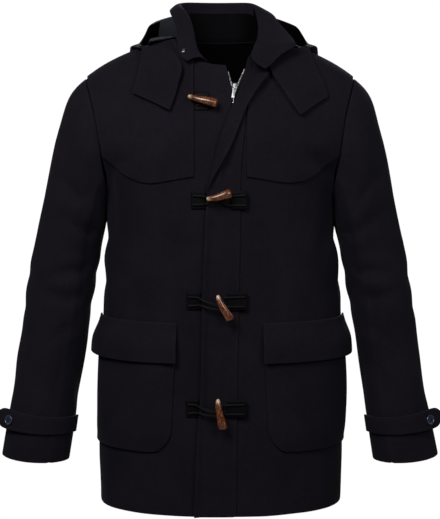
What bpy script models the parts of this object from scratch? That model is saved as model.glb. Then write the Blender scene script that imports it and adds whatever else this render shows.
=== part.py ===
"""Duffle coat: hip-length melton coat with a two-piece sleeve, stand collar, zip, overlapping placket
with four horn toggles, shoulder yokes, flapped patch pockets, cuff straps and a hood hanging behind.

Frame: +X to the wearer's left, +Y to the wearer's back, +Z up, origin in the middle of the neck opening
at the height of the back neck seam. Metres throughout. "Lift" is a distance outward from the body form.
"""

import math

import bmesh
import bpy
import numpy as np

# driving sizes
CLOTH = 0.0025          # melton wall
DOUBLE = 0.0034         # two layers stitched together
GAP = 0.0004            # air left between pieces that touch
CORD = 0.0016           # radius of the toggle cords
LINING = 0.0010
CHEST_Z = -0.272        # underarm level
HEM_Z = -0.812
ROUND = 2.35            # squareness of the body rings, 2 is an ellipse
NECK_HALF = 0.078       # half width of the neck opening
NECK_FRONT = 0.092
NECK_BACK = 0.070
NECK_RISE = 0.004
NECK_DROP = 0.047
NECK_SHARE = 0.32       # share of each half panel's top edge that is neckline
TOP_V = 1.9988          # rows stop this short of the shoulder seam at v = 2
SIDE_S = 0.9993         # columns stop this short of the side seam at s = 1

# body rings: height, half width, front depth, back depth, sideways shift
BODY = np.array([
    (-0.812, 0.2140, 0.1550, 0.1400, 0.0010),
    (-0.720, 0.2160, 0.1540, 0.1360, 0.0010),
    (-0.630, 0.2150, 0.1530, 0.1300, 0.0030),
    (-0.540, 0.2130, 0.1525, 0.1240, 0.0040),
    (-0.450, 0.2080, 0.1520, 0.1230, 0.0040),
    (-0.350, 0.2030, 0.1520, 0.1290, 0.0020),
    (-0.272, 0.2025, 0.1500, 0.1360, 0.0000),
])

# shoulder seam: distance from the centre, height
SHOULDER = np.array([
    (0.078, 0.0040),
    (0.105, -0.0040),
    (0.140, -0.0145),
    (0.180, -0.0310),
    (0.212, -0.0500),
    (0.2345, -0.0670),
])

# armhole key points: x (wearer's left side), y, z
ARM_TOP = np.array((0.2345, 0.003, -0.067))
ARM_FRONT = np.array((0.2040, -0.082, -0.182))
ARM_UNDER = np.array((0.2025, 0.000, -0.272))
ARM_BACK = np.array((0.2080, 0.084, -0.168))

COLUMNS = [0.0, 0.055, 0.11, 0.165, 0.22, 0.27, 0.32, 0.43, 0.55, 0.68, 0.81, 0.91, SIDE_S]
LOW_ROWS = [0.0, 0.13, 0.26, 0.39, 0.52, 0.64, 0.76, 0.88]
ARM_STEPS = 9

# sleeve sections, wearer's left: outer x and z, inner x and z, middle shift of the front and back points,
# front y, back y. Row 0 follows the armhole.
SLEEVE_LEFT = np.array([
    (0.2500, -0.0800, 0.2092, -0.2800, 0.2120, 0.2160, -0.1860, -0.1720, -0.0865, 0.0885),
    (0.2640, -0.0985, 0.2095, -0.2860, 0.2240, 0.2280, -0.1960, -0.1840, -0.0890, 0.0905),
    (0.2735, -0.1250, 0.2098, -0.2950, 0.2340, 0.2380, -0.2120, -0.2030, -0.0895, 0.0900),
    (0.2820, -0.1560, 0.2104, -0.3080, 0.2420, 0.2450, -0.2350, -0.2290, -0.0885, 0.0880),
    (0.2920, -0.1950, 0.2112, -0.3260, 0.2490, 0.2510, -0.2640, -0.2600, -0.0865, 0.0845),
    (0.3020, -0.2400, 0.2130, -0.3510, 0.2560, 0.2570, -0.2990, -0.2970, -0.0845, 0.0800),
    (0.3135, -0.2960, 0.2160, -0.3820, 0.2645, 0.2650, -0.3410, -0.3400, -0.0830, 0.0750),
    (0.3245, -0.3560, 0.2235, -0.4180, 0.2735, 0.2735, -0.3880, -0.3880, -0.0830, 0.0695),
    (0.3345, -0.4180, 0.2315, -0.4600, 0.2825, 0.2825, -0.4400, -0.4400, -0.0840, 0.0630),
    (0.3430, -0.4780, 0.2395, -0.5060, 0.2910, 0.2910, -0.4930, -0.4930, -0.0860, 0.0560),
    (0.3500, -0.5340, 0.2470, -0.5540, 0.2985, 0.2985, -0.5450, -0.5450, -0.0890, 0.0480),
    (0.3580, -0.5900, 0.2545, -0.6040, 0.3060, 0.3060, -0.5980, -0.5980, -0.0925, 0.0390),
    (0.3680, -0.6420, 0.2610, -0.6540, 0.3145, 0.3145, -0.6490, -0.6490, -0.0960, 0.0295),
    (0.3770, -0.6850, 0.2670, -0.6960, 0.3220, 0.3220, -0.6920, -0.6920, -0.0985, 0.0210),
    (0.3850, -0.7240, 0.2725, -0.7330, 0.3290, 0.3290, -0.7300, -0.7300, -0.1000, 0.0140),
])
# what the right sleeve adds to the sections above: outer x, inner x
RIGHT_SLEEVE_OUT = np.interp(range(15), (0, 6, 10, 14), (0.0, 0.003, 0.005, 0.0))
RIGHT_SLEEVE_IN = np.interp(range(15), (0, 4, 10, 14), (0.0, 0.0, -0.005, -0.004))

# zip edges of the fronts: height, x of the right front's edge, x of the left front's edge.
# They part above the slider.
ZIP_EDGES = np.array([
    (-0.812, 0.0038, 0.0082),
    (-0.300, 0.0048, 0.0092),
    (-0.200, 0.0098, 0.0142),
    (-0.088, 0.0220, 0.0270),
    (-0.078, 0.0200, 0.0300),
    (-0.045, 0.0100, 0.0450),
    (-0.030, 0.0100, 0.0470),
])

# placket below the lapel: height, free edge x, seam x
PLACKET = np.array([
    (-0.812, -0.0440, 0.0275),
    (-0.740, -0.0410, 0.0280),
    (-0.670, -0.0385, 0.0285),
    (-0.600, -0.0320, 0.0290),
    (-0.530, -0.0310, 0.0300),
    (-0.460, -0.0295, 0.0315),
    (-0.400, -0.0280, 0.0325),
    (-0.345, -0.0255, 0.0335),
    (-0.295, -0.0235, 0.0340),
    (-0.256, -0.0222, 0.0342),
])
PLACKET_SHARES = (0.0, 0.42, 0.76, 0.84, 0.88, 0.92, 0.96, 1.0)
# lapel: seam x and z, roll x and z, free edge x and z, roll height, edge height
LAPEL = np.array([
    (0.0343, -0.2460, -0.0195, -0.2470, -0.0215, -0.2460, 0.0078, 0.0150),
    (0.0346, -0.2290, -0.0170, -0.2300, -0.0105, -0.2260, 0.0105, 0.0190),
    (0.0355, -0.2110, -0.0130, -0.2120, 0.0075, -0.2000, 0.0125, 0.0185),
    (0.0370, -0.1915, -0.0085, -0.1920, 0.0210, -0.1750, 0.0132, 0.0160),
    (0.0400, -0.1680, -0.0015, -0.1680, 0.0320, -0.1470, 0.0138, 0.0156),
    (0.0425, -0.1370, 0.0095, -0.1370, 0.0430, -0.1160, 0.0142, 0.0160),
    (0.0440, -0.1100, 0.0205, -0.1100, 0.0560, -0.0910, 0.0150, 0.0176),
    (0.0455, -0.0860, 0.0325, -0.0860, 0.0655, -0.0710, 0.0160, 0.0194),
    (0.0470, -0.0680, 0.0410, -0.0680, 0.0700, -0.0600, 0.0168, 0.0206),
])

# hood sections round the neck: azimuth from the centre back, then outward distance and height of the
# cloth where it lies on the back, lower down, at its bottom fold, at the belly and at the rim
HOOD = np.array([
    (0, 0.127, -0.068, 0.150, -0.170, 0.184, -0.250, 0.226, -0.140, 0.190, 0.046),
    (22, 0.128, -0.060, 0.154, -0.155, 0.190, -0.234, 0.226, -0.122, 0.190, 0.056),
    (43, 0.128, -0.032, 0.165, -0.104, 0.198, -0.168, 0.217, -0.086, 0.185, 0.038),
    (62, 0.122, 0.001, 0.160, -0.030, 0.188, -0.070, 0.198, -0.036, 0.173, 0.021),
    (80, 0.112, 0.010, 0.138, 0.003, 0.163, -0.009, 0.172, 0.002, 0.157, 0.016),
    (97, 0.108, 0.008, 0.130, 0.004, 0.150, -0.004, 0.157, 0.002, 0.148, 0.012),
])

WOOL = (0.014, 0.014, 0.024, 1.0)
SATIN = (0.030, 0.045, 0.085, 1.0)
LEATHER = (0.012, 0.012, 0.016, 1.0)
METAL = (0.75, 0.75, 0.76, 1.0)
HORN = (0.33, 0.12, 0.045, 1.0)
NAVY_BUTTON = (0.015, 0.025, 0.060, 1.0)


# small helpers
def unit(vectors):
    vectors = np.asarray(vectors, float)
    length = np.linalg.norm(vectors, axis=-1, keepdims=True)
    return vectors / np.maximum(length, 1e-12)


def smooth(value):
    value = np.clip(value, 0.0, 1.0)
    return value * value * (3.0 - 2.0 * value)


def column(table, at, index, key=0):
    """Straight-line reading of one column of a table at a value of its key column."""
    order = np.argsort(table[:, key])
    return float(np.interp(at, table[order, key], table[order, index]))


def spline(points, count):
    """Catmull-Rom curve through the points, at evenly spaced parameters, ends included."""
    points = np.asarray(points, float)
    padded = np.vstack([2 * points[:1] - points[1:2], points, 2 * points[-1:] - points[-2:-1]])
    out = []
    for place in np.linspace(0.0, len(points) - 1.0, count):
        k = min(int(place), len(points) - 2)
        f = place - k
        a, b, c, d = padded[k:k + 4]
        out.append(0.5 * (2 * b + (c - a) * f + (2 * a - 5 * b + 4 * c - d) * f ** 2
                          + (3 * b - a - 3 * c + d) * f ** 3))
    return np.array(out)


def clearScene():
    for obj in list(bpy.data.objects):
        bpy.data.objects.remove(obj, do_unlink=True)


def addNode(name, points, faces, colour, rough=0.85, metal=0.0, origin=(0.0, 0.0, 0.0)):
    """One closed body as a mesh object with its own material, its origin where given."""
    mesh = bpy.data.meshes.new(name)
    shifted = np.asarray(points, float) - np.asarray(origin, float)
    mesh.from_pydata([tuple(p) for p in shifted], [], [tuple(f) for f in faces])
    work = bmesh.new()
    work.from_mesh(mesh)
    bmesh.ops.remove_doubles(work, verts=work.verts, dist=1e-7)
    bmesh.ops.recalc_face_normals(work, faces=work.faces)
    work.to_mesh(mesh)
    work.free()
    obj = bpy.data.objects.new(name, mesh)
    obj.location = origin
    bpy.context.scene.collection.objects.link(obj)
    material = bpy.data.materials.new(name)
    material.use_nodes = True
    shader = material.node_tree.nodes["Principled BSDF"]
    shader.inputs["Base Color"].default_value = colour
    shader.inputs["Roughness"].default_value = rough
    shader.inputs["Metallic"].default_value = metal
    mesh.materials.append(material)
    return obj


def gridNormals(grid):
    """Normals of a grid of points, from its own differences."""
    along = np.gradient(grid, axis=0)
    across = np.gradient(grid, axis=1)
    return unit(np.cross(along, across))


def wallFaces(columns, rows):
    """Faces of two (columns x rows) grids, outer then inner, joined round the rim."""
    def outer(i, j):
        return i * rows + j

    def inner(i, j):
        return columns * rows + i * rows + j

    faces = []
    for i in range(columns - 1):
        for j in range(rows - 1):
            faces.append((outer(i, j), outer(i + 1, j), outer(i + 1, j + 1), outer(i, j + 1)))
            faces.append((inner(i, j), inner(i, j + 1), inner(i + 1, j + 1), inner(i + 1, j)))
    for i in range(columns - 1):
        faces.append((outer(i, 0), inner(i, 0), inner(i + 1, 0), outer(i + 1, 0)))
        faces.append((outer(i, rows - 1), outer(i + 1, rows - 1), inner(i + 1, rows - 1),
                      inner(i, rows - 1)))
    for j in range(rows - 1):
        faces.append((outer(0, j), outer(0, j + 1), inner(0, j + 1), inner(0, j)))
        faces.append((outer(columns - 1, j), inner(columns - 1, j), inner(columns - 1, j + 1),
                      outer(columns - 1, j + 1)))
    return faces


def addWall(name, grid, normals, thick, lift, colour, rough=0.9):
    """Cloth wall: the grid moved out by lift (inner side) and lift + thick (outer side)."""
    grid = np.asarray(grid, float)
    lift = np.asarray(lift, float)
    if lift.ndim == 2:
        lift = lift[:, :, None]
    outer = grid + normals * (lift + thick)
    inner = grid + normals * lift
    points = np.concatenate([outer.reshape(-1, 3), inner.reshape(-1, 3)])
    return addNode(name, points, wallFaces(grid.shape[0], grid.shape[1]), colour, rough)


def addTube(name, path, radius, colour, sides=6, closed=False, flat=1.0, rough=0.7):
    """Round cord along a path of points; flat squashes it against the cloth (along Y)."""
    path = np.asarray(path, float)
    radii = np.broadcast_to(np.asarray(radius, float), (len(path),))
    if closed:
        ahead = np.roll(path, -1, axis=0) - np.roll(path, 1, axis=0)
    else:
        ahead = np.gradient(path, axis=0)
    ahead = unit(ahead)
    side = None
    rings = []
    for point, forward, size in zip(path, ahead, radii):
        guess = np.array((0.0, -1.0, 0.0)) if side is None else side
        side = unit(guess - forward * guess.dot(forward))
        other = np.cross(forward, side)
        turns = np.arange(sides) * 2.0 * math.pi / sides
        rings.append(point + size * (np.outer(np.cos(turns) * flat, side) + np.outer(np.sin(turns), other)))
    faces = []
    count = len(rings)
    for i in range(count if closed else count - 1):
        for j in range(sides):
            a, b = i, (i + 1) % count
            k = (j + 1) % sides
            faces.append((a * sides + j, b * sides + j, b * sides + k, a * sides + k))
    if not closed:
        faces.append(tuple(range(sides))[::-1])
        faces.append(tuple((count - 1) * sides + j for j in range(sides)))
    return addNode(name, np.concatenate(rings), faces, colour, rough)


# body form
def ring(side, front, s, z):
    """Point of the body ring at height z: s runs from the centre line (0) to the side seam (1)."""
    half = column(BODY, z, 1)
    deep = column(BODY, z, 2 if front else 3)
    shift = column(BODY, z, 4)
    angle = s * math.pi / 2
    across, out = math.sin(angle), math.cos(angle)
    radius = (abs(across / half) ** ROUND + abs(out / deep) ** ROUND) ** (-1.0 / ROUND)
    return np.array((shift + side * radius * across, (-1 if front else 1) * radius * out, z))


def neckPoint(side, front, turn):
    """Neck seam: turn 0 is on the shoulder, 90 the centre line, beyond it the other side."""
    angle = math.radians(turn)
    sin = math.sin(angle)
    x = side * NECK_HALF * math.cos(angle)
    if front:
        return np.array((x, -NECK_FRONT * sin, NECK_RISE - NECK_DROP * abs(sin) ** 1.8))
    return np.array((x, NECK_BACK * sin, NECK_RISE * (1.0 - sin)))


def topPoint(side, front, s):
    """Top edge of a half panel: neckline first, then the shoulder seam out to the armhole."""
    if s <= NECK_SHARE:
        return neckPoint(side, front, 90.0 * (1.0 - s / NECK_SHARE))
    share = (s - NECK_SHARE) / (1.0 - NECK_SHARE)
    x = NECK_HALF + (ARM_TOP[0] - NECK_HALF) * share
    return np.array((side * x, ARM_TOP[1] * share, column(SHOULDER, x, 1)))


def armPoint(side, angle):
    """Armhole seam: angle 90 at the shoulder, 180 at the front, 270 underarm, 0 at the back."""
    return roundLoop(side, math.radians(angle), ARM_TOP, ARM_FRONT, ARM_UNDER, ARM_BACK)


def roundLoop(side, angle, top, front, under, back):
    sin, cos = math.sin(angle), math.cos(angle)
    middle = sin * sin * (top + under) / 2 + cos * cos * (back + front) / 2
    point = middle + sin * (top - under) / 2 + cos * (back - front) / 2
    return point * np.array((side, 1.0, 1.0))


def riseLean(t, degrees):
    """Share of the height gained and of the depth lost along a rounded profile."""
    steep = math.radians(degrees)
    return math.sin(t * steep) / math.sin(steep), (1 - math.cos(t * steep)) / (1 - math.cos(steep))


def body(side, front, s, v):
    """The body form: v from the hem (0) to underarm level (1) to the top edge (2)."""
    if s < 0:
        return body(-side, front, -s, v)
    if v <= 1.0:
        return ring(side, front, s, HEM_Z + (CHEST_Z - HEM_Z) * v)
    t = v - 1.0
    across = s * s * (1.6 - 0.6 * s)
    low, high = ring(side, front, s, CHEST_Z), topPoint(side, front, s)
    lowMid, highMid = ring(side, front, 0.0, CHEST_Z), topPoint(side, front, 0.0)
    rise, lean = riseLean(t, 48.0 if front else 60.0)
    centre = lowMid + (highMid - lowMid) * np.array((rise, lean, rise))
    seam = armPoint(side, 270.0 - 180.0 * t if front else -90.0 + 180.0 * t)
    lowSide, highSide = armPoint(side, 270.0), armPoint(side, 90.0)
    rise, lean = riseLean(t, 84.0)
    share = np.array((0.35 * t + 0.65 * rise * t, lean, rise))
    point = centre * (1 - across) + seam * across
    height = point[2] + (high - highMid * (1 - across) - highSide * across)[2] * share[2]
    point = point + (low - lowMid * (1 - across) - lowSide * across) * (1 - t ** 1.5) ** 1.5
    point = point + (high - highMid * (1 - across) - highSide * across) * share
    deep = abs(centre[1])
    half = abs(seam[0]) / (1 - min(abs(seam[1]) / deep, 0.97) ** ROUND) ** (1 / ROUND)
    angle = s * math.atan2(abs(seam[0]), abs(seam[1]))
    sin, cos = math.sin(angle), math.cos(angle)
    radius = ((sin / half) ** ROUND + (cos / deep) ** ROUND) ** (-1.0 / ROUND)
    arc = np.array((side * radius * sin, (-1 if front else 1) * radius * cos, height))
    return arc + (point - arc) * smooth(t / 0.75)


def bodyNormalRaw(side, front, s, v):
    step = 0.004
    s0, s1 = s - step, min(s + step, 1.0)
    v0, v1 = max(v - step, 0.0), min(v + step, 2.0)
    if v > 1.0 and v - step < 1.0:
        v0 = 1.0
    along = body(side, front, s1, v) - body(side, front, s0, v)
    up = body(side, front, s, v1) - body(side, front, s, v0)
    normal = unit(np.cross(along, up))
    return normal * (side if front else -side)


def bodyNormal(side, front, s, v):
    """Outward normal of the body form, shared by the front and the back along the shoulder seam."""
    normal = bodyNormalRaw(side, front, s, v)
    share = smooth((v - 1.91) / 0.08) * smooth((abs(s) - NECK_SHARE + 0.09) / 0.09)
    if share > 0:
        x = max(abs(topPoint(side, front, s)[0]), NECK_HALF)
        fall = column(SHOULDER, x - 0.004, 1) - column(SHOULDER, x + 0.004, 1)
        span = min(x + 0.004, SHOULDER[-1, 0]) - max(x - 0.004, SHOULDER[0, 0])
        ridge = unit(np.array((math.copysign(side * fall, side * s), 0.0, span)))
        normal = unit(normal * (1 - share) + ridge * share)
    if s > 0.98 and v <= 1.002:
        normal = unit(np.array((float(side), 0.0, 0.0)) * 0.98 + normal * 0.02)
    return normal


def bodyGrid(side, front, sRows, vValues):
    """Grid with one row of s values for each v value: points and normals, indexed [column, row]."""
    points = np.array([[body(side, front, s, v) for s in row] for row, v in zip(sRows, vValues)])
    normals = np.array([[bodyNormal(side, front, s, v) for s in row] for row, v in zip(sRows, vValues)])
    return points.transpose(1, 0, 2), normals.transpose(1, 0, 2)


class FrontForm:
    """Reading of the front body form at a place (x, z) seen from the front."""

    def __init__(self, side):
        self.side = side
        self.s = np.concatenate([np.linspace(-0.30, 0.9, 37), np.linspace(0.92, 1.0, 9)])
        self.v = np.concatenate([np.linspace(0.0, 1.0, 25), np.linspace(1.02, 1.9988, 50)])
        self.points, self.normals = bodyGrid(side, True, [self.s] * len(self.v), self.v)

    def curveAt(self, x):
        """Vertical line of the form at distance x: rows of x, y, z, normal."""
        rows = []
        for k in range(len(self.v)):
            across = self.side * self.points[:, k, 0]
            wanted = self.side * x
            pick = [np.interp(wanted, across, self.points[:, k, axis]) for axis in (1, 2)]
            slope = [np.interp(wanted, across, self.normals[:, k, axis]) for axis in (0, 1, 2)]
            rows.append(pick + slope)
        return np.array(rows)

    def at(self, x, z):
        rows = self.curveAt(x)
        order = np.argsort(rows[:, 1])
        high = rows[order[-1], 1] - 0.0015
        zz = min(z, high)
        values = [np.interp(zz, rows[order, 1], rows[order, k]) for k in (0, 2, 3, 4)]
        return np.array((x, values[0], zz)), unit(values[1:])


def frontAt(x, z):
    return FORMS[1 if x >= 0 else -1].at(x, z)


def onFront(x, z, lift):
    point, normal = frontAt(x, z)
    return point + normal * lift


def zipEdge(side, z):
    """x of the zip edge of the wearer's left (side 1) or right (side -1) front."""
    return column(ZIP_EDGES, z, 2 if side > 0 else 1)


def sForX(side, v, x):
    """The s value at which the front form reaches x on a row."""
    low, high = -0.35, 0.999
    for _ in range(26):
        mid = (low + high) / 2
        if side * body(side, True, mid, v)[0] < side * x:
            low = mid
        else:
            high = mid
    return (low + high) / 2


# body panels
def panelRows():
    return LOW_ROWS + [1.0 + k / ARM_STEPS for k in range(ARM_STEPS)] + [1.945, TOP_V]


def frontStart(side, v):
    """s value of the zip edge of a front panel on a row."""
    start = 0.0
    for _ in range(3):
        start = sForX(side, v, zipEdge(side, body(side, True, start, v)[2]))
    return start


def addFront(name, side):
    """Front panel from the zip line to the side seam and armhole."""
    rows = panelRows()
    sRows = []
    for v in rows:
        start = frontStart(side, v)
        spread = [start * (1 - s / COLUMNS[-1]) + s for s in COLUMNS]
        sRows.append(spread)
    grid, normals = bodyGrid(side, True, sRows, rows)
    addWall(name, grid, normals, CLOTH, 0.0, WOOL)
    return grid, normals


def addBack():
    """Back panel in one piece, from armhole to armhole."""
    rows = panelRows()
    wide = [-s for s in COLUMNS[:0:-1]] + COLUMNS
    points, normals = [], []
    for s in wide:
        side = -1 if s < 0 else 1
        points.append([body(side, False, abs(s), v) for v in rows])
        normals.append([bodyNormal(side, False, abs(s), v) for v in rows])
    addWall("back", points, np.array(normals), CLOTH, 0.0, WOOL)


YOKE_EDGE = np.array([
    (0.044, -0.2295),
    (0.085, -0.2365),
    (0.122, -0.2440),
    (0.158, -0.2310),
    (0.200, -0.1960),
])
# inner edge of the front yokes: height, right yoke x, left yoke x
YOKE_IN = np.array([
    (-0.240, 0.0440, 0.0450),
    (-0.110, 0.0440, 0.0460),
    (-0.060, 0.0440, 0.0525),
    (-0.020, 0.0440, 0.0600),
])
YOKE_ARM = 0.984
YOKE_COLUMNS = COLUMNS[2:-1] + [YOKE_ARM]
YOKE_LIFT = CLOTH + 0.0010


def yokeTop(s):
    """Top of the yokes: at the shoulder seam, and short of the collar and hood round the neck."""
    return 1.9965 - 0.022 * (1.0 - smooth((abs(s) - NECK_SHARE - 0.03) / 0.05))


def yokeRows(low, top):
    """Row values of a yoke: its lower edge, then the rows of the panel beneath."""
    rows = [v for v in panelRows() if 1.15 < v < 1.97]
    return [low] + [max(v, low + 0.005 * k) for k, v in enumerate(rows, 1)] + [top]


def addFrontYoke(name, side):
    """Shoulder yoke lying on the front, its lower edge curving up to the armhole."""
    count = len(YOKE_COLUMNS) + 1
    lines = []
    for i in range(count):

        def place(v):
            start, inside = frontStart(side, v), yokeInside(side, v)
            if i == 0:
                return inside
            s = YOKE_COLUMNS[i - 1]
            return max(start * (1 - s / COLUMNS[-1]) + s, inside + 0.006 * i)

        low, high = 1.0, 1.9
        for _ in range(16):
            mid = (low + high) / 2
            point = body(side, True, place(mid), mid)
            if point[2] < column(YOKE_EDGE, abs(point[0]), 1):
                low = mid
            else:
                high = mid
        top = yokeTop(place(1.99))
        lines.append([(place(v), v) for v in yokeRows(low, top)])
    grid = np.array([[body(side, True, s, v) for s, v in line] for line in lines])
    normals = np.array([[bodyNormal(side, True, s, v) for s, v in line] for line in lines])
    addWall(name, grid, normals, CLOTH, YOKE_LIFT, WOOL)


def yokeInside(side, v):
    z = body(side, True, 0.2, v)[2]
    return sForX(side, v, side * column(YOKE_IN, z, 2 if side > 0 else 1))


def addBackYoke():
    """Yoke across the back, running on from the front yokes over the shoulder seams."""
    wide = [-YOKE_ARM] + [-s for s in COLUMNS[-2:0:-1]] + COLUMNS[:-1] + [YOKE_ARM]
    points, normals = [], []
    for s in wide:
        side = -1 if s < 0 else 1
        low = 1.36 + 0.10 * smooth((abs(s) - 0.5) / 0.5)
        rows = [v for v in panelRows() if 1.40 < v < 1.97]
        values = [low] + [max(v, low + 0.010 * k) for k, v in enumerate(rows, 1)] + [yokeTop(s)]
        points.append([body(side, False, abs(s), v) for v in values])
        normals.append([bodyNormal(side, False, abs(s), v) for v in values])
    addWall("yoke_back", points, np.array(normals), CLOTH, YOKE_LIFT, WOOL)


# sleeves
def sleeveRing(side, row, angle):
    """Point of a sleeve section; row may lie between two rows of the table."""
    table = SLEEVE_LEFT.copy()
    if side < 0:
        table[:, 0] += RIGHT_SLEEVE_OUT
        table[:, 2] += RIGHT_SLEEVE_IN
    low = int(np.clip(math.floor(row), 0, len(table) - 2))
    values = table[low] + (table[low + 1] - table[low]) * (row - low)
    outX, outZ, inX, inZ, frontX, backX, frontZ, backZ, frontY, backY = values
    centre = (frontY + backY) / 2
    return roundLoop(side, math.radians(angle), np.array((outX, centre, outZ)),
                     np.array((frontX, frontY, frontZ)), np.array((inX, centre, inZ)),
                     np.array((backX, backY, backZ)))


def capStart(side, angle):
    """First ring of the sleeve beside the armhole seam: middle of the wall, and its wall direction."""
    step = 2.0
    seam = armPoint(side, angle)
    along = unit(armPoint(side, angle + step) - armPoint(side, angle - step))
    turn = angle % 360.0
    front = 90.0 <= turn <= 270.0
    v = 1.0 + ((270.0 - turn) / 180.0 if front else ((turn + 90.0) % 360.0) / 180.0)
    normal = bodyNormal(side, front, 0.999, min(max(v, 1.0005), 1.9995))
    away = unit(np.cross(normal, along)) * side
    return seam, normal, away


def addSleeve(name, side, first, last):
    """Sleeve panel between two seam angles, from the armhole to the cuff."""
    step = 180.0 / ARM_STEPS
    count = int(round((last - first) / step)) + 1
    angles = np.linspace(first, last, count)
    trim = 0.0002 / 0.055 * 57.3
    angles[0] += trim
    angles[-1] -= trim
    rows = len(SLEEVE_LEFT)
    grid = np.zeros((count, rows + 1, 3))
    normals = np.zeros((count, rows + 1, 3))
    for i, angle in enumerate(angles):
        for k in range(rows):
            grid[i, k + 1] = sleeveRing(side, k, angle)
            before, after = max(k - 0.5, 0), min(k + 0.5, rows - 1)
            down = sleeveRing(side, after, angle) - sleeveRing(side, before, angle)
            if k == 0:
                down = sleeveRing(side, 0.6, angle) - armPoint(side, angle)
            round_ = sleeveRing(side, k, angle + 3) - sleeveRing(side, k, angle - 3)
            normals[i, k + 1] = unit(np.cross(round_, down)) * side
        seam, bodyOut, away = capStart(side, angle)
        out = normals[i, 1]
        run = unit(grid[i, 1] - seam)
        over = smooth((0.60 - run.dot(away)) / 0.4)
        wall = unit(bodyOut * 0.5 * (1 - over) + out)
        clear = CLOTH + 2 * GAP + CLOTH * max(0.0, -wall.dot(bodyOut))
        grid[i, 0] = seam + away * (GAP + CLOTH * max(0.0, -wall.dot(away))) + bodyOut * clear * over
        normals[i, 0] = wall
    addWall(name, grid, normals, CLOTH, 0.0, WOOL)


def sleeveSkin(side, row, angle):
    """Point and outward normal of the sleeve form at a section and angle."""
    down = sleeveRing(side, min(row + 0.5, 14), angle) - sleeveRing(side, row - 0.5, angle)
    across = sleeveRing(side, row, angle + 3) - sleeveRing(side, row, angle - 3)
    return sleeveRing(side, row, angle), unit(np.cross(across, down)) * side


# cuff strap stations: angle round the sleeve, lift, half height
STRAP = np.array([
    (262, 0.0013, 0.0165),
    (240, 0.0013, 0.0165),
    (218, 0.0013, 0.0168),
    (196, 0.0013, 0.0170),
    (174, 0.0016, 0.0175),
    (156, 0.0026, 0.0180),
    (140, 0.0050, 0.0185),
    (126, 0.0085, 0.0188),
    (116, 0.0120, 0.0180),
    (108, 0.0155, 0.0095),
    (104, 0.0175, 0.0012),
])
STRAP_ROW = 12.35
STRAP_ROW_STEP = 0.0475     # height of one sleeve row at the strap
BUTTON_STATION = 6
BUTTON_RADIUS = 0.0088


def addStrap(name, side):
    """Cuff strap across the front of the sleeve, its pointed end standing off at the outside."""
    rows = 4
    grid = np.zeros((len(STRAP), rows, 3))
    normals = np.zeros((len(STRAP), rows, 3))
    for i, (angle, _, half) in enumerate(STRAP):
        for j in range(rows):
            share = 1 - 2 * j / (rows - 1)
            spot, out = sleeveSkin(side, STRAP_ROW - share * half / STRAP_ROW_STEP, angle)
            grid[i, j] = spot
            normals[i, j] = out
    lifts = np.repeat((STRAP[:, 1] + CLOTH + GAP)[:, None], rows, axis=1)
    addWall(name, grid, normals, DOUBLE, lifts, WOOL)
    # flat of the strap's top side between the stations at either side of the button
    outer = grid + normals * (lifts[:, :, None] + DOUBLE)
    low, high = outer[BUTTON_STATION], outer[BUTTON_STATION + 1]
    out = unit(np.cross(high[1] - low[1], low[1] - low[2])) * side
    out = out * np.sign(out[0] * side)
    middle = (low[1] + low[2] + high[1] + high[2]) / 4
    rise = 0.0
    for i in range(len(STRAP) - 1):
        for f in np.linspace(0, 1, 9):
            for j in np.linspace(0, rows - 1.001, 13):
                line = outer[i] * (1 - f) + outer[i + 1] * f
                spot = line[int(j)] * (1 - j % 1) + line[int(j) + 1] * (j % 1) - middle
                height = spot.dot(out)
                if np.linalg.norm(spot - out * height) < BUTTON_RADIUS:
                    rise = max(rise, height)
    addDisc("cuff_button_" + name.split("_")[-1], middle + out * (rise + GAP), out, BUTTON_RADIUS, 0.0030,
            NAVY_BUTTON, 0.3, sides=16)


# collar
# collar stations from the wearer's right front round the back to the left front: turn of the foot on the
# neck seam (0 shoulder, 90 centre), roll point, free edge point
COLLAR_RIGHT = np.array([
    (74.0, -0.0290, -0.0975, -0.0310, -0.0560, -0.0975, -0.0360),
    (62.0, -0.0380, -0.0820, -0.0190, -0.0690, -0.0790, -0.0230),
    (46.0, -0.0450, -0.0600, 0.0100, -0.0720, -0.0560, 0.0020),
    (28.0, -0.0530, -0.0350, 0.0380, -0.0770, -0.0330, 0.0290),
    (8.0, -0.0660, -0.0060, 0.0580, -0.0860, -0.0060, 0.0480),
])
COLLAR_BACK = np.array([
    (160.0, -0.0710, 0.0260, 0.0660, -0.0860, 0.0300, 0.0580),
    (135.0, -0.0560, 0.0500, 0.0690, -0.0640, 0.0610, 0.0640),
    (112.0, -0.0320, 0.0620, 0.0690, -0.0370, 0.0760, 0.0640),
    (90.0, 0.0000, 0.0660, 0.0690, 0.0000, 0.0800, 0.0640),
    (68.0, 0.0330, 0.0610, 0.0690, 0.0390, 0.0740, 0.0640),
    (45.0, 0.0560, 0.0450, 0.0670, 0.0700, 0.0560, 0.0600),
    (20.0, 0.0640, 0.0180, 0.0500, 0.0930, 0.0240, 0.0480),
])
COLLAR_LEFT = np.array([
    (8.0, 0.0665, -0.0060, 0.0300, 0.1040, -0.0020, 0.0300),
    (26.0, 0.0655, -0.0330, 0.0060, 0.1170, -0.0220, 0.0150),
    (42.0, 0.0595, -0.0590, -0.0110, 0.1250, -0.0360, 0.0050),
])
# the end that runs on over the lapel: foot, roll point, free edge point
COLLAR_END = np.array([
    (0.0540, -0.0890, -0.0300, 0.0620, -0.0870, -0.0240, 0.1285, -0.0470, -0.0010),
    (0.0650, -0.1000, -0.0420, 0.0760, -0.0920, -0.0340, 0.1305, -0.0530, -0.0050),
    (0.0770, -0.1050, -0.0490, 0.0870, -0.0960, -0.0420, 0.1305, -0.0580, -0.0100),
])


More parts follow.
